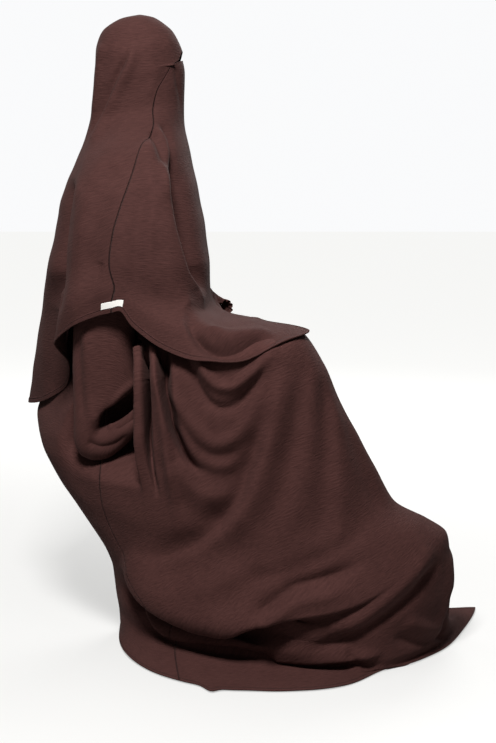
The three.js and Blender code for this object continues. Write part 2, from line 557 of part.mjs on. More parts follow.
function khimarTurn(k, u) {
  const last = KHIMAR.length - 1;
  if (k > last) {
    const part = ['bend', 'lap', 'hem'][Math.min(k - last - 1, 2)];
    return stationRing(KHIMAR_HANG.map((s) => ({ u: s.u, p: s[part] })), u);
  }
  const row = KHIMAR[Math.max(0, k)];
  const p = ring({ r: [-row.n[0], row.n[1]], ...row }, u);
  if (k === SLOT_ROW) {
    const w = Math.min(u, 4 - u);
    if (w <= 1) {
      const height = mix(SLOT_HEIGHT.front, SLOT_HEIGHT.temple, smooth(0.15, 0.8, w));
      p[2] = khimarTurn(k + 1, u)[2] + height;
    } else {
      p[2] -= SLOT_DIP.drop * Math.exp(-(((w - 1) / SLOT_DIP.reach) ** 2));
    }
  }
  return p;
}

function khimarPoint(u, r) {
  const last = KHIMAR_ROWS.length - 1;
  const i = clamp(Math.floor(r), 0, last - 1);
  const [a, b, c, d] = [i - 1, i, i + 1, Math.min(i + 2, last)].map((k) => khimarTurn(k, u));
  return b.map((_, n) => curve(a[n], b[n], c[n], d[n], r - i));
}

function foldedKhimar(u, r) {
  const p = khimarPoint(u, r);
  const e = 0.02;
  const across = sub(khimarPoint((u + e) % 4, r), khimarPoint((u - e + 4) % 4, r));
  const below = khimarPoint(u, Math.min(r + e, KHIMAR_ROWS.length - 1));
  const down = sub(below, khimarPoint(u, Math.max(r - e, 0)));
  const n = unit(cross(across, down));
  const near = u < 2;
  const facing = smooth(0.1, 0.5, near ? -n[1] : n[1]) * smooth(1.5, 3, r);
  if (facing <= 0) return p;
  const out = foldShift(KHIMAR_FOLDS, p[0], p[2]);
  return add(p, n, out * facing * (near ? 1 : 0.75));
}

const khimarLines = gridStops(KHIMAR_ROWS).map((r) => KHIMAR_COLUMNS.map((u) => foldedKhimar(u, r)));
const khimar = makeGrid(khimarLines, true);
const veilNear = KHIMAR_COLUMNS.indexOf(1);
const veilFar = KHIMAR_COLUMNS.indexOf(3);
const inVeil = (j) => j < veilNear || j >= veilFar;
const headCell = (i, j) => i < SLOT_ROW || !inVeil(j);
const veilCell = (i, j) => i > SLOT_ROW && inVeil(j);
addPiece('khimar_back', wall(khimar, headCell, CLOTH, { ...panel, pole: true }), CLOTH_COLOUR);
addPiece('khimar_front', wall(khimar, veilCell, CLOTH, panel), CLOTH_COLOUR);

// A bare tab on the hem at the near seam, made from the khimar's own points moved out
function gridAt(grid, i, j) {
  const a = Math.min(Math.floor(i), grid.rows - 2);
  const b = Math.floor(j);
  const pick = (list) => mixPoint(
    mixPoint(list[a][b], list[a][b + 1], j - b),
    mixPoint(list[a + 1][b], list[a + 1][b + 1], j - b),
    i - a,
  );
  return [pick(grid.points), unit(pick(grid.normals))];
}

function columnAtX(grid, i, x) {
  let [low, high] = [veilNear - 5, veilNear + 5];
  for (let k = 0; k < 30; k += 1) {
    const middle = (low + high) / 2;
    if (gridAt(grid, i, middle)[0][0] > x) low = middle;
    else high = middle;
  }
  return (low + high) / 2;
}

const LABEL_MIDDLE = -14;
const labelRows = [];
for (let m = 0; m <= 2; m += 1) {
  const line = [];
  for (let k = 0; k <= 6; k += 1) {
    const x = LABEL_MIDDLE + LABEL_SIZE[0] * (0.5 - k / 6);
    const edge = columnAtX(khimar, khimar.rows - 1, x);
    const [low] = gridAt(khimar, khimar.rows - 1, edge);
    const [high] = gridAt(khimar, khimar.rows - 2, edge);
    const rise = Math.hypot(...sub(high, low));
    const [p, n] = gridAt(khimar, khimar.rows - 1 - (LABEL_SIZE[1] * (1 - m / 2)) / rise, edge);
    line.push(add(p, n, LABEL_GAP + LABEL_CLOTH));
  }
  labelRows.push(line);
}
addPiece('label', wall(makeGrid(labelRows, false), () => true, LABEL_CLOTH), LABEL_COLOUR);

export default group;
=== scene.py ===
# %% [markdown]
# # A worn prayer abaya with its long khimar
# The set is kept hollow, in a seated pose, as it falls when it is worn. Each panel is a thin sheet
# of crepe cloth. First the frame from the CAD model is loaded. Cloth may stand only a little proud
# of it.

# %% Load the frame
import math

import bmesh
import bpy
import numpy as np
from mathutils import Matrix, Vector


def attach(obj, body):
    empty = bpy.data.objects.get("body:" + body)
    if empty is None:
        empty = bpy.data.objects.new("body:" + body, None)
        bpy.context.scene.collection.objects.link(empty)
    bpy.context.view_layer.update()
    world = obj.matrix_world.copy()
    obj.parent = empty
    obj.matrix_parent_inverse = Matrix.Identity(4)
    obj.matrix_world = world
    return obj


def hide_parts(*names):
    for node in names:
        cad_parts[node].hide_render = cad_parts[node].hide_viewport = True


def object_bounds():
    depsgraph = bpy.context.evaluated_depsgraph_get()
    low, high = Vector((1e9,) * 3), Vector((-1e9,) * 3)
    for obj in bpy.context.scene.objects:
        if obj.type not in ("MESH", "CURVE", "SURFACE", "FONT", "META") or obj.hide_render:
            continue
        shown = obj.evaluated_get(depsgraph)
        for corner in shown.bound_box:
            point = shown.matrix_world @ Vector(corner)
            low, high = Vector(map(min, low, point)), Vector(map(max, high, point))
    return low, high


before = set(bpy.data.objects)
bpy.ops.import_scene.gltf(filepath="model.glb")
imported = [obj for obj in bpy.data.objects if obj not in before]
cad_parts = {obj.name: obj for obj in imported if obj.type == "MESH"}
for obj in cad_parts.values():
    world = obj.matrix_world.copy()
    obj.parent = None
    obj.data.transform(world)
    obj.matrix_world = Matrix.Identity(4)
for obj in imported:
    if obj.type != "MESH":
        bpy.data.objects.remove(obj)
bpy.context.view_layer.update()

# The tables below are in millimetres over the floor. The set's own origin is inside the crown.
HOLD = np.array([27.0, 0.0, 1277.0])

# %% [markdown]
# ## Soft curves through a table
# A dressmaker would drape cloth on a stand and measure it at a few levels. The tables below are
# such levels: each row is one turn round the garment, and a soft curve carries the cloth from
# row to row. The same numbers drive the CAD solids, so both models have the same form.

# %% Curve and table helpers
def smooth(a, b, x):
    """0 up to a, 1 from b on, and a soft step between them."""
    t = np.clip((x - a) / (b - a), 0, 1)
    return t * t * (3 - 2 * t)


def mix(a, b, t):
    return a + (b - a) * t


def curve(a, b, c, d, t, pull=0.42):
    """Soft curve from b to c. The neighbours a and d pull at its two ends."""
    t2 = t * t
    t3 = t2 * t
    return ((2 * t3 - 3 * t2 + 1) * b + (t3 - 2 * t2 + t) * pull * (c - a)
            + (3 * t2 - 2 * t3) * c + (t3 - t2) * pull * (d - b))


def table(names, text):
    """A dict of named columns from a table written as text."""
    rows = np.array([[float(v) for v in line.split()] for line in text.strip().splitlines()])
    return dict(zip(names.split(), rows.T))


def unit(v):
    return v / np.maximum(np.linalg.norm(v, axis=-1, keepdims=True), 1e-9)


# %% One turn round a garment
def turn(t, k, u):
    """Points of table row k at column u: 0 front, 1 near seam, 2 back, 3 far seam."""
    g = {name: column[k] for name, column in t.items()}
    u = np.mod(u, 4)
    middle = (g["fx"] + g["bx"]) / 2
    half = (g["fx"] - g["bx"]) / 2
    seam = np.arccos(np.clip((g["seam"] - middle) / half, -0.95, 0.95))
    near = u <= 2
    w = np.where(near, u, 4 - u)
    angle = np.where(w < 1, seam * w, seam + (np.pi - seam) * (w - 1))
    c, s = np.cos(angle), np.sin(angle)
    front_y = np.where(g["nf"] < 0, g["nf"], g["ny"])
    near_y = mix(g["ny"], front_y, smooth(-0.1, 0.6, c))
    side_y = np.where(near, near_y, g["ry"])
    side_z = np.where(near, g["nz"], g["rz"])
    across = (1 + c) / 2
    bulge = np.maximum(s, 0) ** np.where(c > 0, g["pf"], g["pb"])
    return np.stack([
        middle + half * c,
        mix(g["by"], g["fy"], across) + bulge * (side_y - (g["fy"] + g["by"]) / 2),
        mix(g["bz"], g["fz"], across) + s * s * (side_z - (g["fz"] + g["bz"]) / 2),
    ], axis=-1)


def through_rows(one_row, last, u, r):
    """Soft curve through four rows of a table, at row r and column u."""
    r = np.clip(r, 0, last)
    i = np.minimum(np.floor(r), last - 1).astype(int)
    at = [one_row(np.clip(i + n, 0, last), u) for n in (-1, 0, 1, 2)]
    return curve(*at, (r - i)[..., None])


def outward(surface, u, r, last, e=0.02):
    """The direction in which the surface faces, from its slope over a short step e."""
    across = surface(u + e, r) - surface(u - e, r)
    down = surface(u, np.minimum(r + e, last)) - surface(u, np.maximum(r - e, 0))
    return unit(np.cross(across, down))


# %% [markdown]
# ## Folds
# A fold is a soft ridge or trough along a path, drawn as seen from the side. Its width on the two
# sides of the path can differ, because cloth usually falls steeply on one side and rolls away
# softly on the other. rise and fall are the shares of the path over which it comes and goes, sharp
# makes its foot steeper, and slide also moves its crest along x and z, so that it can overhang.
# Sculpting would work too, but a list of named folds is easy to adjust.

# %% Fold helper
def soft_path(path, steps=6):
    """The path with a soft curve of short straight steps between its points."""
    p = np.array(path, float)
    at = lambda k: p[min(max(k, 0), len(p) - 1)]
    out = [curve(at(k - 1), at(k), at(k + 1), at(k + 2), s / steps)
           for k in range(len(p) - 1) for s in range(steps)]
    return np.array(out + [p[-1]])


FOLD_REACH = 2.6          # a fold is too faint to see past this many of its widths


def fold_move(folds, x, z):
    """How far each place moves, in mm: out of the cloth, along x and along z."""
    move = np.zeros(x.shape + (3,))
    for fold in folds:
        width, path = fold["width"], soft_path(fold["path"])
        left, right = width if isinstance(width, tuple) else (width, width)
        reach = FOLD_REACH * max(left, right)
        low, high = path.min(0) - reach, path.max(0) + reach
        near = (x > low[0]) & (x < high[0]) & (z > low[1]) & (z < high[1])
        if not near.any():
            continue
        px, pz = x[near], z[near]
        best = np.full(px.shape, 1e9)
        along = np.zeros(px.shape)
        side = np.ones(px.shape)
        for k in range(len(path) - 1):
            a, d = path[k], path[k + 1] - path[k]
            t = np.clip(((px - a[0]) * d[0] + (pz - a[1]) * d[1]) / max(d @ d, 1e-6), 0, 1)
            far = np.hypot(px - a[0] - d[0] * t, pz - a[1] - d[1] * t)
            closer = far < best
            best = np.where(closer, far, best)
            along = np.where(closer, (k + t) / (len(path) - 1), along)
            side = np.where(closer, np.sign(d[0] * (pz - a[1]) - d[1] * (px - a[0])), side)
        q = best / np.where(side > 0, left, right)
        ends = (smooth(0, fold.get("rise", 0.15), along)
                * (1 - smooth(1 - fold.get("fall", 0.25), 1, along)))
        amount = np.exp(-q ** fold.get("sharp", 2.0)) * ends
        move[near] += amount[:, None] * np.array((fold["depth"],) + fold.get("slide", (0, 0)))
    return move


def handling(x, z):
    """The faint unevenness of cloth that has been worn, under a millimetre."""
    return (0.5 * np.sin(x / 19 + 1.7 * np.sin(z / 53)) * np.sin(z / 31 + 1.1 * np.sin(x / 47))
            + 0.35 * np.sin((x + z) / 13 + 2.0 * np.sin(z / 71)))


# %% [markdown]
# ## The dress
# The table goes from the neck down to the hem that trails on the floor. f is the front, b the
# back, n the near side, r the far side, and seam says how far forward the side seams lie. pf and pb
# say how round the front and back halves are. nf, where it isn't 0, is how far out the near side
# stands toward the front.

# %% Levels of the dress
DRESS = table("fx fy fz bx by bz ny nz ry rz seam pf pb nf", """
 55    0 1030  -45    0 1062  -62 1046    62 1046    0 1    1    0
 70    0 1004  -62    0 1042 -104 1020   104 1020    0 1    1    0
 86    0  972  -80    0 1006 -150  982   150  982    0 0.9  0.9  0
 98    0  938  -94    0  966 -168  940   168  940    0 0.8  0.8  0
112    0  874 -106    0  895 -166  876   166  876    0 0.8  0.8  0
119    0  800 -113    0  806 -160  802   160  802   -2 0.8  0.8  0
124   -2  722 -118    0  706 -160  722   160  722   -6 0.8  0.8  0
136  -12  664 -132    0  612 -176  662   172  660  -12 0.8  0.8  0
196  -78  644 -150    0  540 -230  628   150  586  -18 0.85 1.3  0
276 -170  652 -174    0  494 -303  613   118  545  -26 0.9  1.6  0
358 -270  649 -198  -12  460 -351  574.5  84  490  -32 1    1.6  0
404 -281  584 -200  -45  440 -368  528    44  435  -38 1.1  1.5  0
435 -280  513 -192  -78  413 -378  462     4  396  -42 1.15 1.2  0
471 -275  444 -180  -92  382 -384  402   -34  342  -44 1.2  1    0
507 -270  378 -163 -104  352 -391  344   -66  300  -44 1.2  1    0
549 -262  302 -140 -117  315 -402  280   -84  258  -40 1.2  1    0
615 -253  265 -112 -127  277 -414  232   -92  214  -28 1.2  1    0
657 -243  234  -81 -139  236 -430  186   -97  180   -8 1.2  1    0
668 -232  184  -49 -150  190 -446  142  -101  142   26 1.2  1    0
676 -224  132  -33 -158  156 -456  103  -104  108   64 1.2  1 -456
674 -220   92  -27 -166  122 -432   76  -105   80   84 1.2  1 -460
672 -214   58  -22 -170   86 -440   50  -105   54   96 1.2  1 -466
676 -200   30  -17 -173   52 -428   27  -104   30  104 1.2  1 -476
702 -126   11  -14 -174   22 -470   11  -100   13  112 1.25 0.95 -494
753  -46    5  -15 -169    6 -534    5   -92    6  122 1.6  0.86 0
""")
DRESS_LAST = len(DRESS["fx"]) - 1
ARMHOLE = {"near": (1.01, 0.38), "far": (3.055, 0.365)}      # middle column, half width
ARMHOLE_LEVEL = (4.0, 1.0)
print("dress table", DRESS_LAST + 1, "levels")


# The near hem on the floor isn't an even curve: a corner is pulled out and the front runs
# straighter. Each place has its middle along x, its reach, and how far it is moved out.
HEM_SHAPE = [(183, 15, 20), (205, 34, 6), (520, 52, -32), (662, 40, 16)]


def dress_row(k, u):
    p = turn(DRESS, k, u)
    for x, reach, out in HEM_SHAPE:
        bump = out * np.exp(-((p[..., 0] - x) / reach) ** 2)
        p[..., 1] -= np.where((k == DRESS_LAST) & (np.mod(u, 4) < 2), bump, 0)
    return p


def dress_form(u, r):
    return through_rows(dress_row, DRESS_LAST, u, r)


# %% [markdown]
# ## The folds of the skirt
# Two deep pleats fall beside the sleeve, swags hang over the lap, a long valley runs down from the
# knee, and the cloth rolls and creases where it lands on the floor. The entries run from top to
# bottom. A cloth simulation would find folds of its own, but not these ones in these places.

# %% Folds of the skirt
SKIRT_FOLDS = [
    dict(name="pleat heads", depth=62, width=(40, 22), rise=0.25, fall=0.35,
         path=[(10, 646), (34, 645), (56, 640), (88, 628)]),
    dict(name="first pleat", depth=9, width=(6, 7), rise=0.02, fall=0.4,
         path=[(56, 650), (56, 520), (55, 420), (50, 330)]),
    dict(name="first gap", depth=-104, width=(6, 5), sharp=4, slide=(-43, 12), rise=0.02, fall=0.5,
         path=[(67, 650), (67, 560), (68, 480), (70, 400), (78, 330)]),
    dict(name="second pleat", depth=14, width=(9, 12), rise=0.02, fall=0.4,
         path=[(79, 650), (84, 590), (90, 530), (97, 470), (104, 400), (112, 320), (118, 240)]),
    dict(name="second gap", depth=-66, width=(9, 6), sharp=3, slide=(-26, 5), rise=0.02, fall=0.42,
         path=[(90, 640), (95, 582), (101, 530), (108, 488), (117, 452), (129, 424), (148, 400),
               (170, 384)]),
    dict(name="top swag", depth=12, width=(10, 12),
         path=[(146, 640), (160, 610), (173, 584), (196, 562), (221, 560), (242, 572), (279, 604),
               (312, 640)]),
    dict(name="top trough", depth=-11, width=(9, 12), sharp=1.6,
         path=[(130, 624), (146, 592), (160, 556), (178, 530), (200, 519), (224, 524), (248, 546),
               (276, 584), (300, 620)]),
    dict(name="middle swag", depth=8, width=(12, 20),
         path=[(90, 600), (110, 536), (139, 492), (172, 459), (197, 450), (233, 467), (262, 508),
               (296, 560)]),
    dict(name="middle trough", depth=-4, width=(10, 12),
         path=[(100, 530), (122, 490), (152, 446), (186, 427), (222, 434), (252, 468)]),
    dict(name="third swag", depth=3, width=(12, 12),
         path=[(104, 494), (126, 460), (155, 423), (186, 405), (218, 408), (246, 432)]),
    dict(name="third crease", depth=-3, width=(12, 18),
         path=[(106, 470), (130, 438), (156, 404), (180, 388), (205, 385), (234, 396), (258, 424)]),
    dict(name="low swag", depth=7, width=(17, 22),
         path=[(108, 410), (136, 368), (170, 346), (206, 346), (236, 366)]),
    dict(name="low swag trough", depth=-3, width=18,
         path=[(112, 340), (146, 304), (180, 298), (214, 312)]),
    dict(name="knee valley", depth=-16, width=(12, 30), rise=0.25, fall=0.3,
         path=[(292, 530), (274, 463), (254, 397), (234, 345), (205, 302), (170, 266), (136, 240),
               (71, 214), (0, 228)]),
    dict(name="knee ridge", depth=13, width=(28, 15),
         path=[(318, 600), (304, 504), (287, 431), (262, 354), (228, 294), (180, 240)]),
    dict(name="second valley", depth=-5, width=(18, 26),
         path=[(360, 600), (349, 503), (337, 429), (316, 347), (282, 273)]),
    dict(name="second ridge", depth=5, width=(24, 20),
         path=[(384, 634), (375, 510), (362, 408), (345, 326), (318, 250)]),
    dict(name="shin valley", depth=-4, width=(16, 20),
         path=[(400, 610), (404, 500), (404, 400), (396, 310), (380, 240)]),
    dict(name="shin ridge", depth=7, width=(26, 14),
         path=[(418, 600), (424, 510), (428, 420), (430, 320), (428, 210)]),
    dict(name="shin side valley", depth=-7, width=(22, 24),
         path=[(456, 520), (478, 430), (500, 350), (530, 290)]),
    dict(name="foot swag", depth=10, width=(30, 24),
         path=[(-6, 196), (40, 176), (100, 158), (160, 160), (220, 190), (280, 236)]),
    dict(name="foot trough", depth=-6, width=(18, 16),
         path=[(250, 190), (300, 196), (360, 214), (430, 246), (500, 290)]),
    dict(name="overhang", depth=22, width=(36, 11), slide=(0, -17), rise=0.16, fall=0.3,
         path=[(-14, 180), (18, 161), (59, 136), (115, 117), (160, 107), (207, 106), (249, 114),
               (291, 123), (333, 133), (412, 145), (481, 160), (554, 200), (606, 262)]),
    dict(name="under overhang", depth=-46, width=(10, 26), slide=(0, 12), rise=0.18, fall=0.45,
         path=[(-14, 152), (18, 132), (58, 110), (114, 89), (164, 78), (217, 75), (262, 85),
               (304, 99), (350, 110), (420, 118), (500, 146)]),
    dict(name="upper crease", depth=-19, width=(15, 8), sharp=1.6, slide=(0, 5), rise=0.2,
         path=[(258, 122), (278, 138), (308, 155), (340, 175), (368, 183), (402, 191), (440, 202),
               (490, 224)]),
    dict(name="upper crease roll", depth=12, width=(8, 13), slide=(0, -4),
         path=[(272, 114), (300, 134), (336, 158), (372, 167), (410, 173), (466, 186)]),
    dict(name="toe ridge", depth=13, width=(16, 20),
         path=[(628, 226), (550, 166), (500, 132), (452, 106), (400, 92)]),
    dict(name="toe trough", depth=-11, width=(12, 12),
         path=[(640, 196), (572, 140), (500, 100), (430, 74), (370, 56)]),
    dict(name="front dome", depth=15, width=(18, 26), rise=0.45, fall=0.45,
         path=[(270, 58), (320, 68), (360, 76), (400, 76), (460, 66)]),
    dict(name="train crease", depth=-20, width=(8, 9), sharp=1.6, slide=(0, 6), rise=0.12,
         path=[(0, 128), (20, 98), (42, 72), (70, 48), (98, 38), (126, 35), (170, 33), (218, 30),
               (272, 30), (314, 36)]),
    dict(name="train roll", depth=12, width=(15, 8), slide=(0, -8),
         path=[(-4, 150), (16, 118), (40, 92), (70, 68), (104, 56), (150, 52), (220, 48), (280, 47)]),
    dict(name="hem crease", depth=-17, width=(7, 7), sharp=1.6, slide=(0, 3),
         path=[(286, 19), (330, 20), (365, 20), (434, 23), (480, 22)]),
    dict(name="hem roll", depth=11, width=(12, 6), slide=(0, -4),
         path=[(290, 34), (340, 34), (400, 36), (470, 38), (520, 40)]),
    dict(name="toe crease", depth=-7, width=(7, 8), sharp=1.6,
         path=[(440, 50), (462, 36), (478, 22), (520, 16)]),
    dict(name="corner ridge", depth=7, width=12, path=[(560, 96), (600, 70), (640, 48), (670, 36)]),
    dict(name="corner crease", depth=-6, width=9, path=[(540, 70), (580, 46), (620, 30), (654, 22)]),
]
# Where the toe's front falls on the train, the cloth is tucked whichever way it faces.
TOE_FOLDS = [
    dict(name="toe tuck", depth=-13, width=(8, 11), sharp=1.6, rise=0.2, fall=0.1,
         path=[(680, 120), (672, 78), (658, 42), (642, 14)]),
    dict(name="toe front roll", depth=6, width=(12, 10),
         path=[(664, 200), (662, 130), (650, 84), (632, 46)]),
]
# The far side has the same folds, but no pleats. They are shallower there and lie elsewhere.
FAR_SKIRT_FOLDS = SKIRT_FOLDS[5:]
FAR_SKIRT_DEPTH, FAR_SKIRT_X, FAR_SKIRT_Z = 0.7, 14, -9
print(len(SKIRT_FOLDS) + len(TOE_FOLDS), "folds on the near side,", len(FAR_SKIRT_FOLDS), "on the far side")

# %% [markdown]
# ## The surface of the dress
# The folds are laid on the form where it faces sideways, below the lap. Three more things shape the
# near side. The hanging sleeve presses a pocket into the skirt, the first pleat folds back over
# that pocket, and the heads of the pleats stay under the khimar's hem.

# %% Surface of the dress
# Each pair is a span: an effect is absent up to its first value, and full from its second.
SKIRT_FACING = 0.25, 0.7            # how far sideways the cloth faces
SKIRT_ROWS = 7, 8.4                 # level of the table
BACK_FADE_X = -34, 24               # low at the back the folds fade out, and the panel lies smooth
BACK_FADE_Z = 200, 250
# Under the khimar's hem the pleats reach out no further than this: places along x, and their y.
UNDER_HEM = [20, 60, 90, 130], [-296, -318, -335, -352]
UNDER_HEM_Z = 590, 615
POCKET_Y = -196                     # the hanging sleeve presses the skirt in to here
POCKET_X = (-150, -96), (36, 50)    # where the pocket starts and where it ends
POCKET_Z = (345, 425), (640, 690)
# The first pleat folds back over the pocket: places along x before and after it is folded.
PLEAT_FROM = [-40, 20, 34, 40, 45, 49, 52, 56, 61, 67, 73, 80, 92, 120]
PLEAT_TO = [-40, 30, 42, 44, 41, 37, 34, 42, 51, 58, 65, 73, 89, 120]
PLEAT_Z = 300, 440


def between(span, x):
    """1 between a soft start and a soft end, 0 outside."""
    start, end = span
    return smooth(*start, x) * (1 - smooth(*end, x))


def dress_surface(u, r):
    """Points of the folded dress at column u and row r, in mm."""
    u = np.mod(u, 4)
    p = dress_form(u, r)
    n = outward(dress_form, u, r, DRESS_LAST)
    near = u < 2
    below_lap = smooth(*SKIRT_ROWS, r)
    facing = smooth(*SKIRT_FACING, np.where(near, -n[..., 1], n[..., 1])) * below_lap
    x, z = p[..., 0], p[..., 2]
    facing = facing * np.where(near, mix(smooth(*BACK_FADE_X, x), 1, smooth(*BACK_FADE_Z, z)), 1)
    far_move = FAR_SKIRT_DEPTH * fold_move(FAR_SKIRT_FOLDS, x + FAR_SKIRT_X, z + FAR_SKIRT_Z)
    move = np.where(near[..., None], fold_move(SKIRT_FOLDS, x, z), far_move)
    move = move * facing[..., None]
    move[..., 0] += handling(x, z) * below_lap
    move[..., 0] += np.where(near, fold_move(TOE_FOLDS, x, z)[..., 0], 0)
    q = p + n * move[..., :1]
    q[..., 0] += move[..., 1]
    q[..., 2] += move[..., 2]
    limit = np.minimum(p[..., 1], np.interp(x, *UNDER_HEM))
    top = near * smooth(*UNDER_HEM_Z, z) * (x < UNDER_HEM[0][-1]) * (r > SKIRT_ROWS[0])
    q[..., 1] = mix(q[..., 1], np.maximum(q[..., 1], limit), top)
    folded = near * (facing > 0)
    inside = between(POCKET_X, x) * between(POCKET_Z, z) * folded
    q[..., 1] = mix(q[..., 1], np.maximum(q[..., 1], POCKET_Y), inside)
    slid = np.interp(x, PLEAT_FROM, PLEAT_TO) - np.clip(x, PLEAT_FROM[0], PLEAT_FROM[-1])
    q[..., 0] += slid * smooth(*PLEAT_Z, z) * folded
    return q


def round_hole(u, r):
    """Moves grid places near an armhole, so that its square edge becomes an oval."""
    for middle, half in ARMHOLE.values():
        a = (np.mod(u - middle + 2, 4) - 2) / half
        b = (r - ARMHOLE_LEVEL[0]) / ARMHOLE_LEVEL[1]
        square = np.maximum(np.abs(a), np.abs(b))
        round_ = np.maximum(np.hypot(a, b), 1e-6)
        k = np.where((square < 2) & (square > 0.01), mix(1, square / round_, 1 - smooth(1, 2, square)), 1)
        u = u + (k - 1) * a * half
        r = r + (k - 1) * b * ARMHOLE_LEVEL[1]
    return u, np.maximum(r, 0)


# %% [markdown]
# ## From points to a sheet
# Each panel starts as a flat grid from bmesh, and its vertices are then moved onto the form, the
# way a cutter lays a flat piece on a stand. The UV map holds real metres along the cloth, so that
# the crepe texture keeps one scale. A vertex group says where the cloth is doubled, at the hems.

# %% Sheet helper
def stops(*parts):
    """Grid stops from (start, end, steps) runs that follow each other."""
    out = [np.linspace(a, b, n, endpoint=False) for a, b, n in parts]
    return np.concatenate(out + [[parts[-1][1]]])


NO_SEAM = 200             # mm, too far from a seam for its line to be drawn
CLOSED = 1e-6             # m, joins the two ends of a ring, which lie on each other


def run_length(points, axis):
    """Distance along the cloth from the grid's first row or column, in mm."""
    step = np.linalg.norm(np.diff(points, axis=axis), axis=-1)
    start = np.zeros_like(np.take(step, [0], axis=axis))
    return np.concatenate([start, np.cumsum(step, axis=axis)], axis=axis)


def edge_distance(points, axis, end):
    """Distance along the cloth to the grid's last row or column, or from its first, in mm."""
    run = run_length(points, axis)
    total = np.take(run, [-1], axis=axis)
    return total - run if end else run


def sheet(name, points, material, plain=None, seams=None, drop=None, merge=0.0, pole=False,
          doubled=None, thick=0.9, double=2.4):
    """A piece of cloth from a grid of points.

    plain is the grid without its folds, seams the distance to a seam in mm, and drop the cells that
    are cut out. merge joins vertices that lie this close, in m, and pole gathers the first row into
    one point. doubled is 1 where the cloth lies double. Its wall is thick there by double, and
    elsewhere by thick, in mm.
    """
    rows, cols = points.shape[:2]
    bm = bmesh.new()
    bmesh.ops.create_grid(bm, x_segments=cols - 1, y_segments=rows - 1, size=1.0)
    bm.verts.ensure_lookup_table()
    place = (points.reshape(-1, 3) - HOLD) / 1000
    plain = points if plain is None else plain
    across = run_length(plain, 1)
    across = across - across[:, [cols // 2]]
    cloth_uv = np.stack([across, run_length(plain, 0)], axis=-1).reshape(-1, 2) / 1000
    side = np.full((rows, cols), NO_SEAM) if seams is None else seams
    edge_uv = np.stack([side, edge_distance(points, 0, True)], axis=-1).reshape(-1, 2) / 1000
    uv = bm.loops.layers.uv.new("cloth")
    edge = bm.loops.layers.uv.new("edge")
    for v, co in zip(bm.verts, place):
        v.co = co
    for face in bm.faces:
        for loop in face.loops:
            loop[uv].uv = cloth_uv[loop.vert.index]
            loop[edge].uv = edge_uv[loop.vert.index]
    weight = bm.verts.layers.deform.verify()
    if doubled is not None:
        for v, w in zip(bm.verts, doubled.reshape(-1)):
            v[weight][0] = float(w)
    if drop is not None:
        gone = [f for f in bm.faces if drop[divmod(min(v.index for v in f.verts), cols)]]
        bmesh.ops.delete(bm, geom=gone, context="FACES")
    if pole:
        top = [v for v in bm.verts if v.index < cols]
        middle = place[:cols].mean(0)
        bmesh.ops.pointmerge(bm, verts=top, merge_co=middle.tolist())
    if merge:
        bmesh.ops.remove_doubles(bm, verts=bm.verts, dist=merge)
    bmesh.ops.reverse_faces(bm, faces=bm.faces)
    mesh = bpy.data.meshes.new(name)
    bm.to_mesh(mesh)
    bm.free()
    mesh.polygons.foreach_set("use_smooth", [True] * len(mesh.polygons))
    piece = bpy.data.objects.new(name, mesh)
    bpy.context.scene.collection.objects.link(piece)
    wall = piece.modifiers.new("cloth", "SOLIDIFY")
    wall.offset = -1
    wall.use_even_offset = False
    if doubled is not None:
        piece.vertex_groups.new(name="doubled")
        wall.thickness = double / 1000
        wall.vertex_group = "doubled"
        wall.thickness_vertex_group = thick / double
    else:
        wall.thickness = thick / 1000
    mesh.materials.append(material)
    print(name, len(mesh.polygons), "faces")
    return piece


# %% [markdown]
# ## Shader maths as plain expressions
# Materials here are all made of nodes. A small class wraps a node's socket, so that a pattern can
# be written the way one writes a sum. One method makes any other node: it takes the node's type,
# its settings and the values of its sockets.

# %% Shader helper
class Socket:
    """A node's output socket that can be added, subtracted and multiplied."""

    def __init__(self, nodes, socket):
        self.nodes, self.socket = nodes, socket

    def maths(self, operation, a, b):
        return self.nodes.add("ShaderNodeMath", dict(operation=operation), [a, b])

    def __add__(self, other):
        return self.maths("ADD", self, other)

    def __sub__(self, other):
        return self.maths("SUBTRACT", self, other)

    def __rsub__(self, other):
        return self.maths("SUBTRACT", other, self)

    def __mul__(self, other):
        return self.maths("MULTIPLY", self, other)

    __radd__, __rmul__ = __add__, __mul__


class Material:
    """A new material with its Principled shader, and add() for any other node."""

    def __init__(self, name):
        self.material = bpy.data.materials.new(name)
        self.material.use_nodes = True
        self.tree = self.material.node_tree
        self.shader = self.tree.nodes["Principled BSDF"]

    def add(self, kind, settings=None, inputs=(), output=0):
        node = self.tree.nodes.new(kind)
        for key, value in (settings or {}).items():
            setattr(node, key, value)
        pairs = inputs.items() if isinstance(inputs, dict) else enumerate(inputs)
        for key, value in pairs:
            self.join(node.inputs[key], value)
        return Socket(self, node.outputs[output])

    def join(self, target, value):
        if isinstance(value, Socket):
            self.tree.links.new(value.socket, target)
        else:
            target.default_value = value

    def set(self, **inputs):
        for name, value in inputs.items():
            self.join(self.shader.inputs[name.replace("_", " ")], value)
        return self.material


# %% [markdown]
# ## The crepe
# The cloth is a dark brown matte crepe. Close to, it has fine broken ribs that run across the
# cloth, about 2 to 3 mm apart, over a tight weave. The ribs are noise stretched along the UV map's
# across direction. The colour shifts a little with the ribs, and soft sheen gives the bloom. Seam
# lines and the hem's stitching are grooves at their real distance from the cloth's edges, and the
# colour is painted darker along them as painted shade in the grooves.

# %% Crepe material
SEAM_WIDTH = 0.0024                        # m
STITCH_UP, STITCH_WIDTH = 0.0085, 0.0016   # m, of the hem's stitching over the edge
DARK_BROWN, PALE_BROWN = (0.030, 0.0108, 0.0096), (0.086, 0.0345, 0.0300)
RIB_SCALE, WEAVE_SCALE, CLOUD_SCALE = (60.0, 330.0, 1.0), (700.0, 1300.0, 1.0), (9.0, 14.0, 1.0)


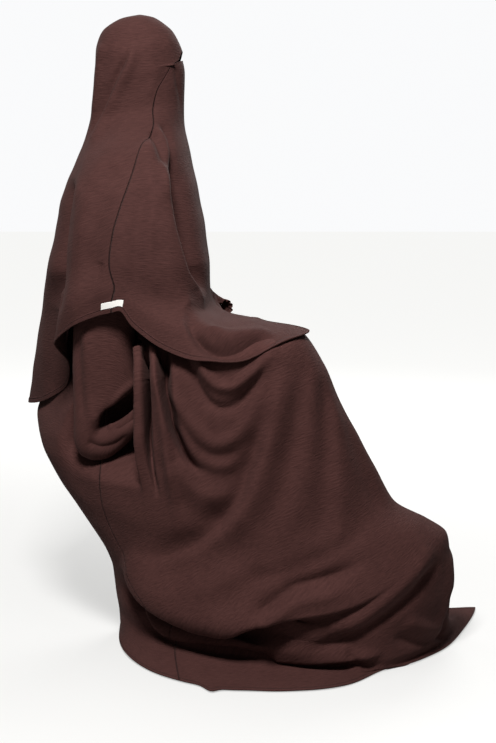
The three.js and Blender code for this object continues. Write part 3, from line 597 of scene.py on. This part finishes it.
def cloth_noise(m, scale, **sockets):
    """Noise on the cloth's own UV map, with this many cells to the metre across and along."""
    uv = m.add("ShaderNodeUVMap", dict(uv_map="cloth"))
    stretched = m.add("ShaderNodeMapping", {}, {"Vector": uv, "Scale": scale})
    return m.add("ShaderNodeTexNoise", {}, {"Vector": stretched, "Scale": 1.0, **sockets})


def crepe(name, seam_depth_and_shade, painted_shade):
    """Crepe with seam grooves of this depth, painted darker along them by as much as painted shade, and its
    brown darkened by this factor of painted shade.
    """
    m = Material(name)
    ribs = cloth_noise(m, RIB_SCALE, Detail=2.0, Roughness=0.62)
    weave = cloth_noise(m, WEAVE_SCALE, Detail=1.0)
    cloud = cloth_noise(m, CLOUD_SCALE, Detail=2.0)
    edge = m.add("ShaderNodeUVMap", dict(uv_map="edge"))
    side = m.add("ShaderNodeSeparateXYZ", {}, [edge])
    rise = m.add("ShaderNodeSeparateXYZ", {}, [edge], output=1)

    def groove(distance, at, width):
        """1 on a line this far from an edge, falling softly to 0."""
        off = m.add("ShaderNodeMath", dict(operation="ABSOLUTE"), [distance - at])
        return m.add("ShaderNodeMapRange", dict(interpolation_type="SMOOTHSTEP"),
                     {"Value": off, "From Min": 0.0, "From Max": width, "To Min": 1.0, "To Max": 0.0})

    seam = groove(side, 0.0, SEAM_WIDTH) * seam_depth_and_shade
    stitch = groove(rise, STITCH_UP, STITCH_WIDTH)
    height = ribs * 0.85 + weave * 0.12 - seam * 1.4 - stitch * 1.2
    bump = m.add("ShaderNodeBump", {}, {"Strength": 1.0, "Distance": 0.0016, "Height": height})
    # The seam and stitch lines are painted darker here too: painted shade in their grooves.
    light = ribs + (cloud - 0.5) * 0.35 - seam * 0.4 - stitch * 0.35
    # Both browns are darkened by this factor: painted shade for the khimar's copy of the crepe.
    dark, pale = [tuple(c * painted_shade for c in brown) + (1.0,) for brown in (DARK_BROWN, PALE_BROWN)]
    colour = m.add("ShaderNodeMix", dict(data_type="RGBA"), {"Factor": light, 6: dark, 7: pale}, output=2)
    return m.set(Base_Color=colour, Roughness=0.9, Normal=bump, Sheen_Weight=0.03, Sheen_Roughness=0.5,
                 Sheen_Tint=(0.8, 0.5, 0.45, 1.0), Specular_IOR_Level=0.12)


# The khimar's copy of the crepe is darkened as painted shade, so it is darker than the dress, and its seams
# are deeper and painted darker.
CREPE = crepe("crepe", seam_depth_and_shade=0.45, painted_shade=1.0)
KHIMAR_SHADED_CREPE = crepe("khimar_crepe_painted_shade", seam_depth_and_shade=1.0, painted_shade=0.84)
print("made", CREPE.name, KHIMAR_SHADED_CREPE.name)


# %% [markdown]
# ## The dress panels
# Front and back are cut apart at the side seams and round the armholes. Columns stand closer where
# the pleats fall and beside the seams, and rows stand closer along the doubled hem.

# %% Dress panels
DRESS_ROWS = stops((0, 3, 6), (3, 5, 10), (5, 8, 12), (8, 13, 56), (13, 18, 62), (18, 23, 50),
                   (23, 23.6, 8), (23.6, 24, 8))
DRESS_HEM = 10, 12                  # mm from the edge: the cloth is double up to here, then single


def cell_middles(u, r):
    """Column and row in the middle of each cell of a grid."""
    return (u[:-1, :-1] + u[1:, 1:]) / 2, (r[:-1, :-1] + r[1:, 1:]) / 2


def dress_panel(name, columns):
    u, r = np.meshgrid(columns, DRESS_ROWS)
    cell_u, cell_r = cell_middles(u, r)
    level, high = ARMHOLE_LEVEL
    drop = np.zeros(cell_u.shape, bool)
    for middle, half in ARMHOLE.values():
        from_middle = np.abs(np.mod(cell_u - middle + 2, 4) - 2)
        drop |= (from_middle < half) & (np.abs(cell_r - level) < high)
    u, r = round_hole(u, r)
    points = dress_surface(u, r)
    hem = 1 - smooth(*DRESS_HEM, edge_distance(points, 0, True))
    seams = np.minimum(edge_distance(points, 1, False), edge_distance(points, 1, True))
    return sheet(name, points, CREPE, plain=dress_form(u, r), seams=seams, drop=drop, doubled=hem)


FRONT_COLUMNS = stops((-1, -0.58, 14), (-0.58, 0, 26), (0, 0.42, 42), (0.42, 0.63, 32), (0.63, 0.74, 26),
                      (0.74, 0.82, 46), (0.82, 0.9, 30), (0.9, 1, 12))
BACK_COLUMNS = stops((1, 1.39, 40), (1.39, 2.69, 90), (2.69, 3, 26))
abaya_front = dress_panel("abaya_front_cloth", FRONT_COLUMNS)
abaya_back = dress_panel("abaya_back_cloth", BACK_COLUMNS)

# %% [markdown]
# ## The sleeves
# A wide bell sleeve hangs from the armhole, folds up at the elbow and ends in a gathered cuff. On
# the far side only the cuff shows, in front of the lap. Each row of the tables is a ring: c is its
# middle, a its half width from front to back, and o its half width outward.

# %% Sleeve tables
NEAR_SLEEVE = table("cx cy cz ax az oy oz", """
  2 -190 880  64  0 -22 58
 -4 -207 846  68 -4 -36 34
-14 -220 792  72 -4 -44  8
-24 -229 722  70  0 -43  0
-35 -238 642  61  0 -40  0
-36 -243 574  62  1 -37  0
-36 -246 524  61  8 -34  0
-50 -249 490  47 23 -32  0
-65 -251 459  32 32 -30  0
-66 -252 432  20 33 -29  0
-52 -253 419   8 33 -28  0
-27 -252 424   1 33 -27  0
  3 -250 443  -2 27 -26  0
 31 -247 472  -4 21 -24  0
 40 -244 506  -9 13 -21  0
 42 -242 548  -9  4 -19  0
 42 -241 592  -9  0 -17  0
""")
FAR_SLEEVE = table("cx cy cz ax az ox oy oz", """
  2 190 880  64  0  0 22 58
 -4 207 846  68 -4  0 36 34
-12 220 792  72 -4  0 43  8
-18 227 730  73  0  0 40  0
-21 229 668  71  8  0 38  0
-20 227 628  66 26  0 35  0
 -8 222 604  50 44  0 32  0
 12 214 596  32 54  4 30  0
 42 202 606  16 52  8 27  0
 70 185 650   8 38 12 24  0
104 156 688   4 24 14 18  0
144 112 686   2 20 13 14  0
182  66 668   1 15 13 10  0
""")
print("sleeve tables", len(NEAR_SLEEVE["cx"]), "and", len(FAR_SLEEVE["cx"]), "rings")

# %% Sleeve folds
SLEEVE_FOLDS = [
    dict(name="long ridge", depth=5, width=12,
         path=[(-66, 660), (-64, 600), (-60, 540), (-56, 480), (-44, 440)]),
    dict(name="back valley", depth=-4, width=9, path=[(-84, 650), (-82, 580), (-80, 520), (-74, 470)]),
    dict(name="bag fold", depth=-6, width=(7, 10), sharp=1.5,
         path=[(-70, 430), (-40, 418), (-10, 424), (14, 444)]),
    dict(name="roll", depth=6, width=7, path=[(-30, 452), (-18, 462), (-4, 474), (20, 488), (36, 500)]),
    dict(name="tuck", depth=-7, width=5, sharp=1.5, path=[(-14, 452), (2, 462), (18, 472), (34, 480)]),
    dict(name="hollow lip", depth=5, width=(6, 9),
         path=[(-26, 486), (-16, 506), (0, 526), (20, 542), (34, 546)]),
]
NEAR, FAR = -1, 1                   # the side of the garment along y
ARMHOLE_GAP = 1.1                   # mm, of the sleeve's first ring off the dress
SLEEVE_FACING = 0.1, 0.5            # how far sideways the sleeve faces where its folds start


def sleeve_points(t, hole, side, rows_per_level=9, around=150):
    """Rings of a sleeve, from the armhole to the wrist, softly joined."""
    angle = np.linspace(0, 2 * np.pi, around + 1) * -side
    middle, half = hole
    level, high = ARMHOLE_LEVEL
    rings = [dress_surface(middle + side * half * np.cos(angle), level - high * np.sin(angle))
             + [0, side * ARMHOLE_GAP, 0]]
    for k in range(len(t["cx"])):
        c = np.array([t["cx"][k], t["cy"][k], t["cz"][k]])
        a = np.array([t["ax"][k], 0, t["az"][k]])
        o = np.array([t["ox"][k] if "ox" in t else 0, t["oy"][k], t["oz"][k]])
        rings.append(c + np.cos(angle)[:, None] * a + np.sin(angle)[:, None] * o)
    rings = np.array(rings)
    last = len(rings) - 1
    r = np.linspace(0, last, last * rows_per_level + 1)
    i = np.minimum(np.floor(r), last - 1).astype(int)
    at = [rings[np.clip(i + n, 0, last)] for n in (-1, 0, 1, 2)]
    return curve(*at, (r - i)[:, None, None])


def grid_normals(points, closed=False):
    """The direction in which each point of a grid faces. A closed grid goes round a ring."""
    across = np.gradient(points, axis=1)
    if closed:
        across[:, 0] = across[:, -1] = (points[:, 1] - points[:, -2]) / 2
    return unit(np.cross(across, np.gradient(points, axis=0)))


def fold_sleeve(points, folds, side):
    n = grid_normals(points, closed=True)
    facing = smooth(*SLEEVE_FACING, n[..., 1] * side)
    move = fold_move(folds, points[..., 0], points[..., 2]) * facing[..., None]
    return points + n * move[..., :1] + np.stack([move[..., 1], 0 * facing, move[..., 2]], axis=-1)


# %% Sleeves
right_points = fold_sleeve(sleeve_points(NEAR_SLEEVE, ARMHOLE["near"], NEAR), SLEEVE_FOLDS, NEAR)
left_points = sleeve_points(FAR_SLEEVE, ARMHOLE["far"], FAR)
sleeve_right = sheet("sleeve_right_cloth", right_points, CREPE, merge=CLOSED)
sleeve_left = sheet("sleeve_left_cloth", left_points, CREPE, merge=CLOSED)

# %% [markdown]
# ## The cuffs
# Elastic gathers each sleeve end into a narrow band, and the cloth beyond it flares into a small
# frill. Fine waves round the ring are the band's gathers. They fade along the frill, where a few
# broader waves grow toward the edge.

# %% Cuffs
CUFF_BAND, CUFF_FRILL = 12, 18      # mm along the cuff: the gathered band, then its frill
CUFF_GAP = 0.6                      # mm, between the sleeve's end and the band
CUFF_THICK = 0.8
BAND_GATHERS, GATHER_DEPTH = 36, 0.5
FRILL_FLARE = 0.16                  # of the cuff's radius
FRILL_WAVES = [(9, 0.12, 0.0), (17, 0.05, 1.0)]     # how many, their height in radii, their start


def cuff(name, sleeve_end, direction, steps=34, around=240):
    middle = sleeve_end[:-1].mean(0)
    radius = np.linalg.norm(sleeve_end - middle, axis=1).mean()
    t = np.linspace(0, 1, around + 1)
    run = np.linspace(0, 1, len(sleeve_end))
    ring = np.stack([np.interp(t, run, sleeve_end[:, m]) for m in range(3)], axis=-1)
    away = unit(ring - middle)
    along = unit(np.array(direction, float))
    wave = sum(height * np.sin(t * count * 2 * np.pi + start) for count, height, start in FRILL_WAVES)
    total = CUFF_BAND + CUFF_FRILL
    rows = []
    for s in np.linspace(CUFF_GAP, total, steps):
        grown = smooth(CUFF_BAND, total, s)
        pinch = np.cos(t * BAND_GATHERS * 2 * np.pi) * GATHER_DEPTH * (1 - grown)
        out = (FRILL_FLARE + wave) * grown * radius + pinch
        rows.append(ring + away * out[:, None] + along * s)
    return sheet(name, np.array(rows), CREPE, merge=CLOSED, thick=CUFF_THICK)


cuff_right = cuff("cuff_right_cloth", right_points[-1], (2, 0, 44))
cuff_left = cuff("cuff_left_cloth", left_points[-1], (30, -24, -15))

# %% [markdown]
# ## The neck binding
# A narrow strip finishes the neck edge. It is hidden under the khimar, so it is kept plain: a short
# band that stands on the edge and is a little rounder in its middle.

# %% Neck binding
BINDING_TOP, BINDING_GAP = 14, 0.4          # mm over the neck edge
BINDING_ROUND, BINDING_THICK = 0.5, 1.3     # mm
BINDING_ROWS = 12
neck_u = np.linspace(0, 4, 181)
neck_edge = dress_surface(neck_u, np.zeros_like(neck_u))
neck_rows = np.array([neck_edge + [0, 0, up] for up in np.linspace(BINDING_TOP, BINDING_GAP, BINDING_ROWS)])
swell = np.sin(np.linspace(0, np.pi, BINDING_ROWS)) * BINDING_ROUND
neck_rows += grid_normals(neck_rows, closed=True) * swell[:, None, None]
neck_binding = sheet("neck_binding_cloth", neck_rows, CREPE, merge=CLOSED, thick=BINDING_THICK)

# %% [markdown]
# ## The khimar
# The khimar is a long cape that covers the head and the body down to the lap, with an eye slot
# between the cape and the face veil. Its upper levels are rings like the dress's. The hanging part
# is given by stations round the hem, because its edge rises and falls over arm and lap. Each has
# its column u and three places on the way down: at the bend, on the lap and at the hem.

# %% Levels of the khimar
KHIMAR = table("fx fy fz bx by bz ny nz seam pf pb", """
 28   0 1281   26 0 1281   -1 1281  27 1    1
 59   0 1274  -14 0 1272  -42 1272  36 1    1
 91   0 1251  -48 0 1250  -68 1250  58 0.9  1
107   0 1226  -64 0 1216  -82 1214  82 0.85 1
116   0 1205  -67 0 1180  -86 1186  99 0.85 1
121   0 1187  -70 0 1150  -88 1154  98 0.85 1
119   0 1150  -74 0 1105  -89 1114  68 0.85 1
118   0 1100  -80 0 1062  -96 1078  58 0.85 1
119   0 1046  -95 0 1012 -136 1044  60 0.9  0.9
131  -6  990 -114 0  966 -202  998  44 0.9  0.9
146 -28  920 -139 0  900 -256  926  15 0.8  0.8
160 -46  848 -154 0  826 -288  850 -10 0.8  0.8
170 -76  775 -172 0  748 -300  784 -18 0.75 0.75
""")
# The far side of the rings mirrors the near one.
KHIMAR.update(ry=-KHIMAR["ny"], rz=KHIMAR["nz"], nf=0 * KHIMAR["ny"])
HANG = table("u bendx bendy bendz lapx lapy lapz hemx hemy hemz", """
0    184 -110 682  276 -204 665  374 -284 653
0.2  180 -168 680  262 -282 670  322 -366 642
0.4  166 -232 688  222 -342 664  238 -412 618
0.6  138 -288 700  158 -366 658  152 -400 611
0.78  96 -306 714   92 -344 676   82 -358 631
0.92  40 -308 729   36 -317 699   28 -321 666
0.96  12 -307 738   10 -310 716    6 -311 694
1     -8 -304 740  -13 -304 714  -14 -304 691
1.1  -38 -297 737  -41 -297 708  -42 -297 684
1.22 -84 -280 728  -88 -286 696  -90 -288 664
1.38 -120 -238 706 -128 -242 664 -134 -240 621
1.52 -122 -190 690 -118 -186 630 -113 -182 572
1.66 -140 -142 676 -134 -144 596 -124 -142 517
1.84 -176 -76 658 -182 -80 568 -180 -84 476
2    -194   0 638 -210   0 550 -224   0 458
2.16 -180  76 658 -192  78 568 -198  80 474
2.34 -148 142 676 -152 146 596 -154 144 518
2.48 -128 190 690 -130 186 625 -130 180 560
2.62 -122 238 706 -130 242 664 -134 240 621
2.78  -86 282 728  -90 286 696  -92 288 664
3     -8 300 742  -14 298 722  -18 294 704
3.2   54 262 744   58 254 728   60 246 712
3.4  104 206 758  108 197 744  112 188 730
3.6  142 124 752  149 111 742  154  99 731
3.74 161  46 734  167  26 716  172   8 694
3.82 170  -4 708  186 -48 670  208 -74 655
3.9  177 -50 690  224 -112 661 288 -156 655
""")
RINGS = len(KHIMAR["fx"])
KHIMAR_LAST = RINGS + 2
SLOT_ROW = 4
print("khimar table", RINGS, "rings and", len(HANG["u"]), "hem stations")

# %% [markdown]
# ## The folds of the khimar
# Folds run from the hood down to the shoulder, the veil is gathered at the throat, one long fold
# falls from there to the lap, and a roll crosses the lap. They are soft and few, because the cape
# hangs free.

# %% Folds of the khimar
KHIMAR_FOLDS = [
    dict(name="hood ridge", depth=9, width=(13, 8),
         path=[(26, 1226), (10, 1178), (-9, 1138), (-31, 1093), (-52, 1054), (-72, 1012),
               (-104, 952)]),
    dict(name="hood valley", depth=-8, width=8,
         path=[(12, 1200), (-16, 1156), (-32, 1124), (-48, 1090), (-68, 1046), (-86, 1010)]),
    dict(name="hood back ridge", depth=6, width=9,
         path=[(-45, 1222), (-55, 1186), (-58, 1145), (-68, 1097), (-86, 1040)]),
    dict(name="brow roll", depth=3, width=12, path=[(50, 1240), (56, 1182), (62, 1150), (48, 1110)]),
    dict(name="cheek crease", depth=-4, width=(8, 5), sharp=1.5,
         path=[(103, 1178), (107, 1139), (113, 1109), (117, 1079), (119, 1050)]),
    dict(name="front fold", depth=28, width=(7, 36), slide=(-15, 0), rise=0.1, fall=0.12,
         path=[(58, 1030), (68, 996), (80, 962), (89, 930), (98, 888), (105, 852), (113, 821),
               (128, 769), (146, 731), (164, 702), (188, 676)]),
    dict(name="chest hollow", depth=-46, width=(32, 7), rise=0.3, fall=0.2,
         path=[(88, 1000), (97, 962), (105, 930), (114, 888), (121, 852), (129, 821), (143, 775),
               (160, 738), (178, 710)]),
    dict(name="throat ridge", depth=11, width=(8, 9), rise=0.35,
         path=[(60, 1060), (70, 1040), (82, 1014), (90, 976), (93, 936), (94, 890)]),
    dict(name="throat crease", depth=-9, width=(9, 6), rise=0.35,
         path=[(66, 1064), (79, 1048), (92, 1020), (101, 976), (104, 936), (105, 890)]),
    dict(name="throat gather", depth=-8, width=(6, 6), rise=0.2,
         path=[(56, 1046), (66, 1020), (76, 990), (84, 955)]),
    dict(name="lap roll", depth=15, width=(15, 10),
         path=[(146, 726), (177, 670), (208, 650), (240, 650), (290, 660), (326, 672)]),
    dict(name="lap trough", depth=-19, width=(9, 12),
         path=[(134, 700), (163, 644), (198, 626), (240, 628), (276, 640), (320, 656)]),
    dict(name="arm valley", depth=-4, width=15,
         path=[(47, 945), (40, 859), (32, 798), (22, 736), (28, 700)]),
    dict(name="arm ridge", depth=4, width=(12, 14),
         path=[(74, 930), (66, 870), (62, 810), (70, 760), (84, 720)]),
    dict(name="elbow dimple", depth=-3, width=8, path=[(-36, 790), (-43, 761), (-61, 716)]),
    dict(name="back ridge", depth=20, width=(26, 7), slide=(18, 0),
         path=[(-60, 1010), (-94, 930), (-90, 880), (-95, 814), (-102, 732), (-111, 690),
               (-126, 640)]),
    dict(name="back trough", depth=-26, width=(8, 24), slide=(8, 0),
         path=[(-104, 950), (-116, 880), (-122, 810), (-126, 740), (-130, 680)]),
    dict(name="shoulder trough", depth=-4, width=22,
         path=[(-6, 980), (-34, 900), (-50, 820), (-58, 740)]),
    dict(name="shoulder ridge", depth=4, width=18,
         path=[(-30, 1000), (-60, 920), (-72, 840), (-76, 740)]),
]
print(len(KHIMAR_FOLDS), "folds")

# %% [markdown]
# ## The form of the khimar
# One soft curve runs down through the rings and the three places of each station. At the slot the
# hood's edge is lifted off the veil's, and both meet again at the side seams. The folds are then
# laid on, as on the dress, and the veil's top edge is drawn in a little.

# %% Khimar form
SLOT_HEIGHT, SLOT_CORNER = 18, 2    # mm between veil and hood, in front and at the side seams
SLOT_NARROWS = 0.15, 0.8            # columns from the front over which it closes
DIP, DIP_REACH = 19.5, 0.3          # behind the seams the hood's edge dips to meet the veil
KHIMAR_FACING = 0.1, 0.5            # how far sideways the cloth faces where its folds start
KHIMAR_FOLD_ROWS = 1.5, 3
HANDLED_ROWS = 1, 3
FAR_KHIMAR_DEPTH, FAR_KHIMAR_X, FAR_KHIMAR_Z = 0.75, -8, 12
VEIL_DENT, DENT_REACH = 5, 0.45     # mm by which the veil's top edge draws in, and its rows
DENT_X = 60, 116


def station_ring(part, u):
    """The hanging part: a closed soft curve through the hem stations."""
    su = HANG["u"]
    p = np.stack([HANG[part + c] for c in "xyz"], axis=-1)
    n = len(su)
    i = np.searchsorted(su, u, side="right") - 1
    start, end = su[i], np.append(su[1:], su[0] + 4)[i]
    at = [p[(i + k) % n] for k in (-1, 0, 1, 2)]
    return curve(*at, ((u - start) / (end - start))[..., None])


def khimar_row(k, u):
    u = np.mod(u, 4)
    p = turn(KHIMAR, np.minimum(k, RINGS - 1), u)
    w = np.minimum(u, 4 - u)
    veil_top = turn(KHIMAR, np.full(np.shape(k), SLOT_ROW + 1), u)[..., 2]
    brow = veil_top + mix(SLOT_HEIGHT, SLOT_CORNER, smooth(*SLOT_NARROWS, w))
    dip = p[..., 2] - DIP * np.exp(-((w - 1) / DIP_REACH) ** 2)
    p[..., 2] = np.where(k == SLOT_ROW, np.where(w <= 1, brow, dip), p[..., 2])
    for n, part in enumerate(("bend", "lap", "hem")):
        p = np.where((k == RINGS + n)[..., None], station_ring(part, u), p)
    return p


def khimar_form(u, r):
    return through_rows(khimar_row, KHIMAR_LAST, u, r)


def khimar_surface(u, r):
    """Points of the folded khimar at column u and row r, in mm."""
    p = khimar_form(u, r)
    n = outward(khimar_form, u, r, KHIMAR_LAST)
    near = np.mod(u, 4) < 2
    facing = smooth(*KHIMAR_FACING, np.where(near, -n[..., 1], n[..., 1])) * smooth(*KHIMAR_FOLD_ROWS, r)
    x, z = p[..., 0], p[..., 2]
    far_move = FAR_KHIMAR_DEPTH * fold_move(KHIMAR_FOLDS, x + FAR_KHIMAR_X, z + FAR_KHIMAR_Z)
    move = np.where(near[..., None], fold_move(KHIMAR_FOLDS, x, z), far_move)
    move = move * facing[..., None]
    move[..., 0] += handling(x, z) * smooth(*HANDLED_ROWS, r)
    dent = np.exp(-((r - SLOT_ROW - 1) / DENT_REACH) ** 2) * (r > SLOT_ROW + 0.5) * smooth(*DENT_X, x)
    move[..., 0] -= VEIL_DENT * dent
    return p + n * move[..., :1] + np.stack([move[..., 1], 0 * x, move[..., 2]], axis=-1)


# %% [markdown]
# ## The two panels of the khimar
# The back panel goes from the near seam round the back to the far seam, and over the slot it goes
# on round the head as the hood. The front panel is the veil and the cape's front. Both are cut from
# one surface, so that their edges meet at the side seams.

# %% Khimar panels
NEAR_SEAM, FAR_SEAM = 1, 3          # columns
KHIMAR_HEM = 9, 11                  # mm from the edge: the cloth is double up to here, then single


def khimar_panel(name, columns, rows, **options):
    u, r = np.meshgrid(columns, rows)
    points = khimar_surface(u, r)
    cell_u, cell_r = cell_middles(u, r)
    hem = 1 - smooth(*KHIMAR_HEM, edge_distance(points, 0, True))
    run = run_length(points, 1)
    last_seam = run[:, [np.argmin(np.abs(columns - min(FAR_SEAM, columns[-1])))]]
    seams = np.where(r > SLOT_ROW + 0.6, np.minimum(run, np.abs(last_seam - run)), NO_SEAM)
    veil_place = (cell_u > FAR_SEAM) & (cell_r > SLOT_ROW)
    return sheet(name, points, KHIMAR_SHADED_CREPE, plain=khimar_form(u, r), seams=seams, drop=veil_place,
                 doubled=hem, merge=CLOSED, **options)


HEAD_ROWS = stops((0, 4, 40), (4, 8, 56), (8, 12, 86), (12, 14.6, 50), (14.6, 15, 14))
VEIL_ROWS = stops((5, 8, 46), (8, 12, 94), (12, 14.6, 80), (14.6, 15, 14))
HEAD_COLUMNS = stops((NEAR_SEAM, 1.6, 60), (1.6, 2.4, 60), (2.4, FAR_SEAM, 44), (FAR_SEAM, 5, 120))
VEIL_COLUMNS = stops((-1, -0.4, 28), (-0.4, 0, 38), (0, 0.4, 50), (0.4, 1, 76))
khimar_back = khimar_panel("khimar_back_cloth", HEAD_COLUMNS, HEAD_ROWS, pole=True)
khimar_front = khimar_panel("khimar_front_cloth", VEIL_COLUMNS, VEIL_ROWS)

# %% [markdown]
# ## The hem tab
# A small woven tab is folded over the hem at the near seam. Here it is left bare. It follows the
# khimar's own surface, moved out by its thickness.

# %% Hem tab
TAPE_SCALE = (900.0, 2400.0, 1.0)
TAPE_THICK = 0.6                    # mm
tape = Material("tab_tape")
tape_weave = cloth_noise(tape, TAPE_SCALE, Detail=1.0)
tape_bump = tape.add("ShaderNodeBump", {}, {"Strength": 0.4, "Distance": 0.0004, "Height": tape_weave})
tape.set(Base_Color=(0.74, 0.72, 0.68, 1.0), Roughness=0.7, Normal=tape_bump)


def tab(name, middle=-14.0, width=41.0, height=22.0, gap=1.3, rows=21, columns=36, soften=6):
    """Rows from the tab's top down to the hem, just off the khimar's surface at the near seam."""
    fine_u = np.linspace(0.86, 1.14, 281)
    fine_r = np.linspace(KHIMAR_LAST - 1, KHIMAR_LAST, 81)
    p = khimar_surface(*np.meshgrid(fine_u, fine_r))
    n = grid_normals(p)
    up = edge_distance(p, 0, True)
    out = np.zeros((rows, columns, 3))
    for row, rise in enumerate(np.linspace(height, 0, rows)):
        for column, x in enumerate(np.linspace(middle + width / 2, middle - width / 2, columns)):
            j = np.argmin(np.abs(p[-1, :, 0] - x))
            i = np.argmin(np.abs(up[:, j] - rise))
            out[row, column] = p[i, j] + n[i, j] * gap
    for _ in range(soften):
        out[1:-1, 1:-1] = (out[:-2, 1:-1] + out[2:, 1:-1] + out[1:-1, :-2] + out[1:-1, 2:]) / 4
    return sheet(name, out, tape.material, thick=TAPE_THICK)


label = tab("label_tape")

# %% [markdown]
# ## Riding and cloth facts
# Every piece rides on the one body of the set and takes the place of its CAD solid. Its drawn area is
# then printed beside the flat size that it is cut to.

# %% Pieces on the frame
# Each row: piece, CAD node, slot, flat width and length in metres, flat area where the cut isn't a
# rectangle, how it is held, and what it rests on.
PIECES = [
    (abaya_front, "abaya_front", "abaya", (1.24, 1.56), 1.22, "draped", ["floor"]),
    (abaya_back, "abaya_back", "abaya", (0.66, 1.16), 0.44, "draped", []),
    (neck_binding, "neck_binding", "abaya", (0.0136, 0.38), None, "gathered", [abaya_front, abaya_back]),
    (sleeve_right, "sleeve_right", "abaya", (0.42, 0.56), 0.19, "hung", [abaya_front, abaya_back]),
    (cuff_right, "cuff_right", "abaya", (0.03, 0.14), None, "gathered", [sleeve_right]),
    (sleeve_left, "sleeve_left", "abaya", (0.42, 0.56), 0.16, "hung", [abaya_front, abaya_back]),
    (cuff_left, "cuff_left", "abaya", (0.03, 0.14), None, "gathered", [sleeve_left]),
    (khimar_back, "khimar_back", "khimar", (0.84, 0.98), 0.48, "draped", [abaya_back, sleeve_right]),
    (khimar_front, "khimar_front", "khimar", (0.72, 0.80), 0.35, "hung", [abaya_front, khimar_back]),
    (label, "label", "label", (0.041, 0.022), None, "folded", [khimar_back]),
]
for piece, node, slot, flat, area, held, rests_on in PIECES:
    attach(piece, "root")
    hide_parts(node)
    drawn = sum(f.area for f in piece.data.polygons)
    print(piece.name, "area", round(drawn, 4), "m2 of", round(area or flat[0] * flat[1], 4),
          "flat, box", [round(v * 1000) for v in piece.dimensions])

# %% [markdown]
# ## The floor
# A plain pale floor, as in a studio's white cove. It glows more with distance, and only to
# the camera, so that it melts into the white behind it and adds no light of its own to the cloth.

# %% Floor
FLOOR_HALF = 12.0                   # m
FLOOR_GAP = 0.0003                  # m, under the lowest cloth
GLOW_FROM, GLOW_TO = 0.43, 0.88     # at the two distances below
GLOW_NEAR, GLOW_FAR = 0.9, 3.0      # m from the set's origin
floor_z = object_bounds()[0][2]
bm = bmesh.new()
bmesh.ops.create_grid(bm, x_segments=1, y_segments=1, size=FLOOR_HALF)
bmesh.ops.translate(bm, verts=bm.verts, vec=(0.2, 0.0, floor_z - FLOOR_GAP))
floor_mesh = bpy.data.meshes.new("floor")
bm.to_mesh(floor_mesh)
bm.free()
floor = bpy.data.objects.new("floor", floor_mesh)
bpy.context.scene.collection.objects.link(floor)
floor_paint = Material("floor_paint")
floor_place = floor_paint.add("ShaderNodeTexCoord", output=3)
distance = floor_paint.add("ShaderNodeVectorMath", dict(operation="LENGTH"), [floor_place], output=1)
floor_seen = floor_paint.add("ShaderNodeLightPath")
glow = floor_paint.add("ShaderNodeMapRange", dict(interpolation_type="SMOOTHSTEP"),
                       {"Value": distance, "From Min": GLOW_NEAR, "From Max": GLOW_FAR,
                        "To Min": GLOW_FROM, "To Max": GLOW_TO}) * floor_seen
floor_tint = floor_paint.add("ShaderNodeCombineColor", {}, [glow, glow, glow * 0.985])
floor.data.materials.append(floor_paint.set(Base_Color=(0.36, 0.357, 0.35, 1.0), Roughness=0.8,
                                            Emission_Color=floor_tint, Emission_Strength=1.0))
print("floor at", round(floor_z, 4))

# %% [markdown]
# ## The white behind
# The background is white to the camera, but it lights the cloth far less than it looks. An even
# light from all around would take the shade out of the folds.

# %% World
WORLD_LIGHT, WORLD_SEEN = 0.1, 0.97
world = bpy.data.worlds.new("white cove")
world.use_nodes = True
nodes, links = world.node_tree.nodes, world.node_tree.links
background = nodes["Background"]
background.inputs["Color"].default_value = (0.985, 0.99, 1.0, 1.0)
ray = nodes.new("ShaderNodeLightPath")
strength = nodes.new("ShaderNodeMapRange")
strength.inputs["To Min"].default_value = WORLD_LIGHT
strength.inputs["To Max"].default_value = WORLD_SEEN
links.new(ray.outputs["Is Camera Ray"], strength.inputs["Value"])
links.new(strength.outputs["Result"], background.inputs["Strength"])
bpy.context.scene.world = world
bpy.context.scene.view_settings.view_transform = "Standard"
print("world light", WORLD_LIGHT, "seen as", WORLD_SEEN)

# %% [markdown]
# ## Lamps and camera
# One strong lamp high on the near side draws the folds, and a weak one from above lifts the lap.
# Three fills keep the far side, the back and the front from going black. The camera stands where
# the photograph was taken from, and looks a little down.

# %% Lamps and camera
def lamp(name, place, aim, size, power):
    """A square lamp of this size in metres and power in watts, turned toward aim."""
    light = bpy.data.lights.new(name, "AREA")
    light.shape = "SQUARE"
    light.size = size
    light.energy = power
    piece = bpy.data.objects.new(name, light)
    piece.location = place
    away = np.array(place) - np.array(aim)
    yaw = math.atan2(away[1], away[0]) + math.pi / 2
    pitch = math.atan2(math.hypot(away[0], away[1]), away[2])
    piece.rotation_euler = (pitch, 0, yaw)
    bpy.context.scene.collection.objects.link(piece)


lamp("key", (-0.1, -1.5, 1.05), (0.14, -0.25, -0.65), 0.55, 70)
lamp("top", (0.3, -0.1, 1.5), (0.35, -0.1, -0.7), 0.9, 6)
lamp("far fill", (0.9, 1.9, 0.7), (0.2, 0.2, -0.6), 1.2, 34)
lamp("back fill", (-1.3, 1.6, 0.6), (0.1, 0.2, -0.6), 1.0, 9)
lamp("front fill", (2.0, 1.9, 0.5), (0.3, 0.2, -0.6), 1.0, 5)

CAMERA_PLACE = (0.2263, -3.22, -0.227)      # m
CAMERA_TILT = 80.74                         # degrees up from straight down
CAMERA_LENS, CAMERA_FILM = 72.7, 36         # mm
camera = bpy.data.objects.new("camera", bpy.data.cameras.new("camera"))
camera.location = CAMERA_PLACE
camera.rotation_euler = (math.radians(CAMERA_TILT), 0, 0)
camera.data.lens = CAMERA_LENS
camera.data.sensor_width = CAMERA_FILM
bpy.context.scene.collection.objects.link(camera)
bpy.context.scene.camera = camera
print("camera at", [round(v, 3) for v in camera.location])
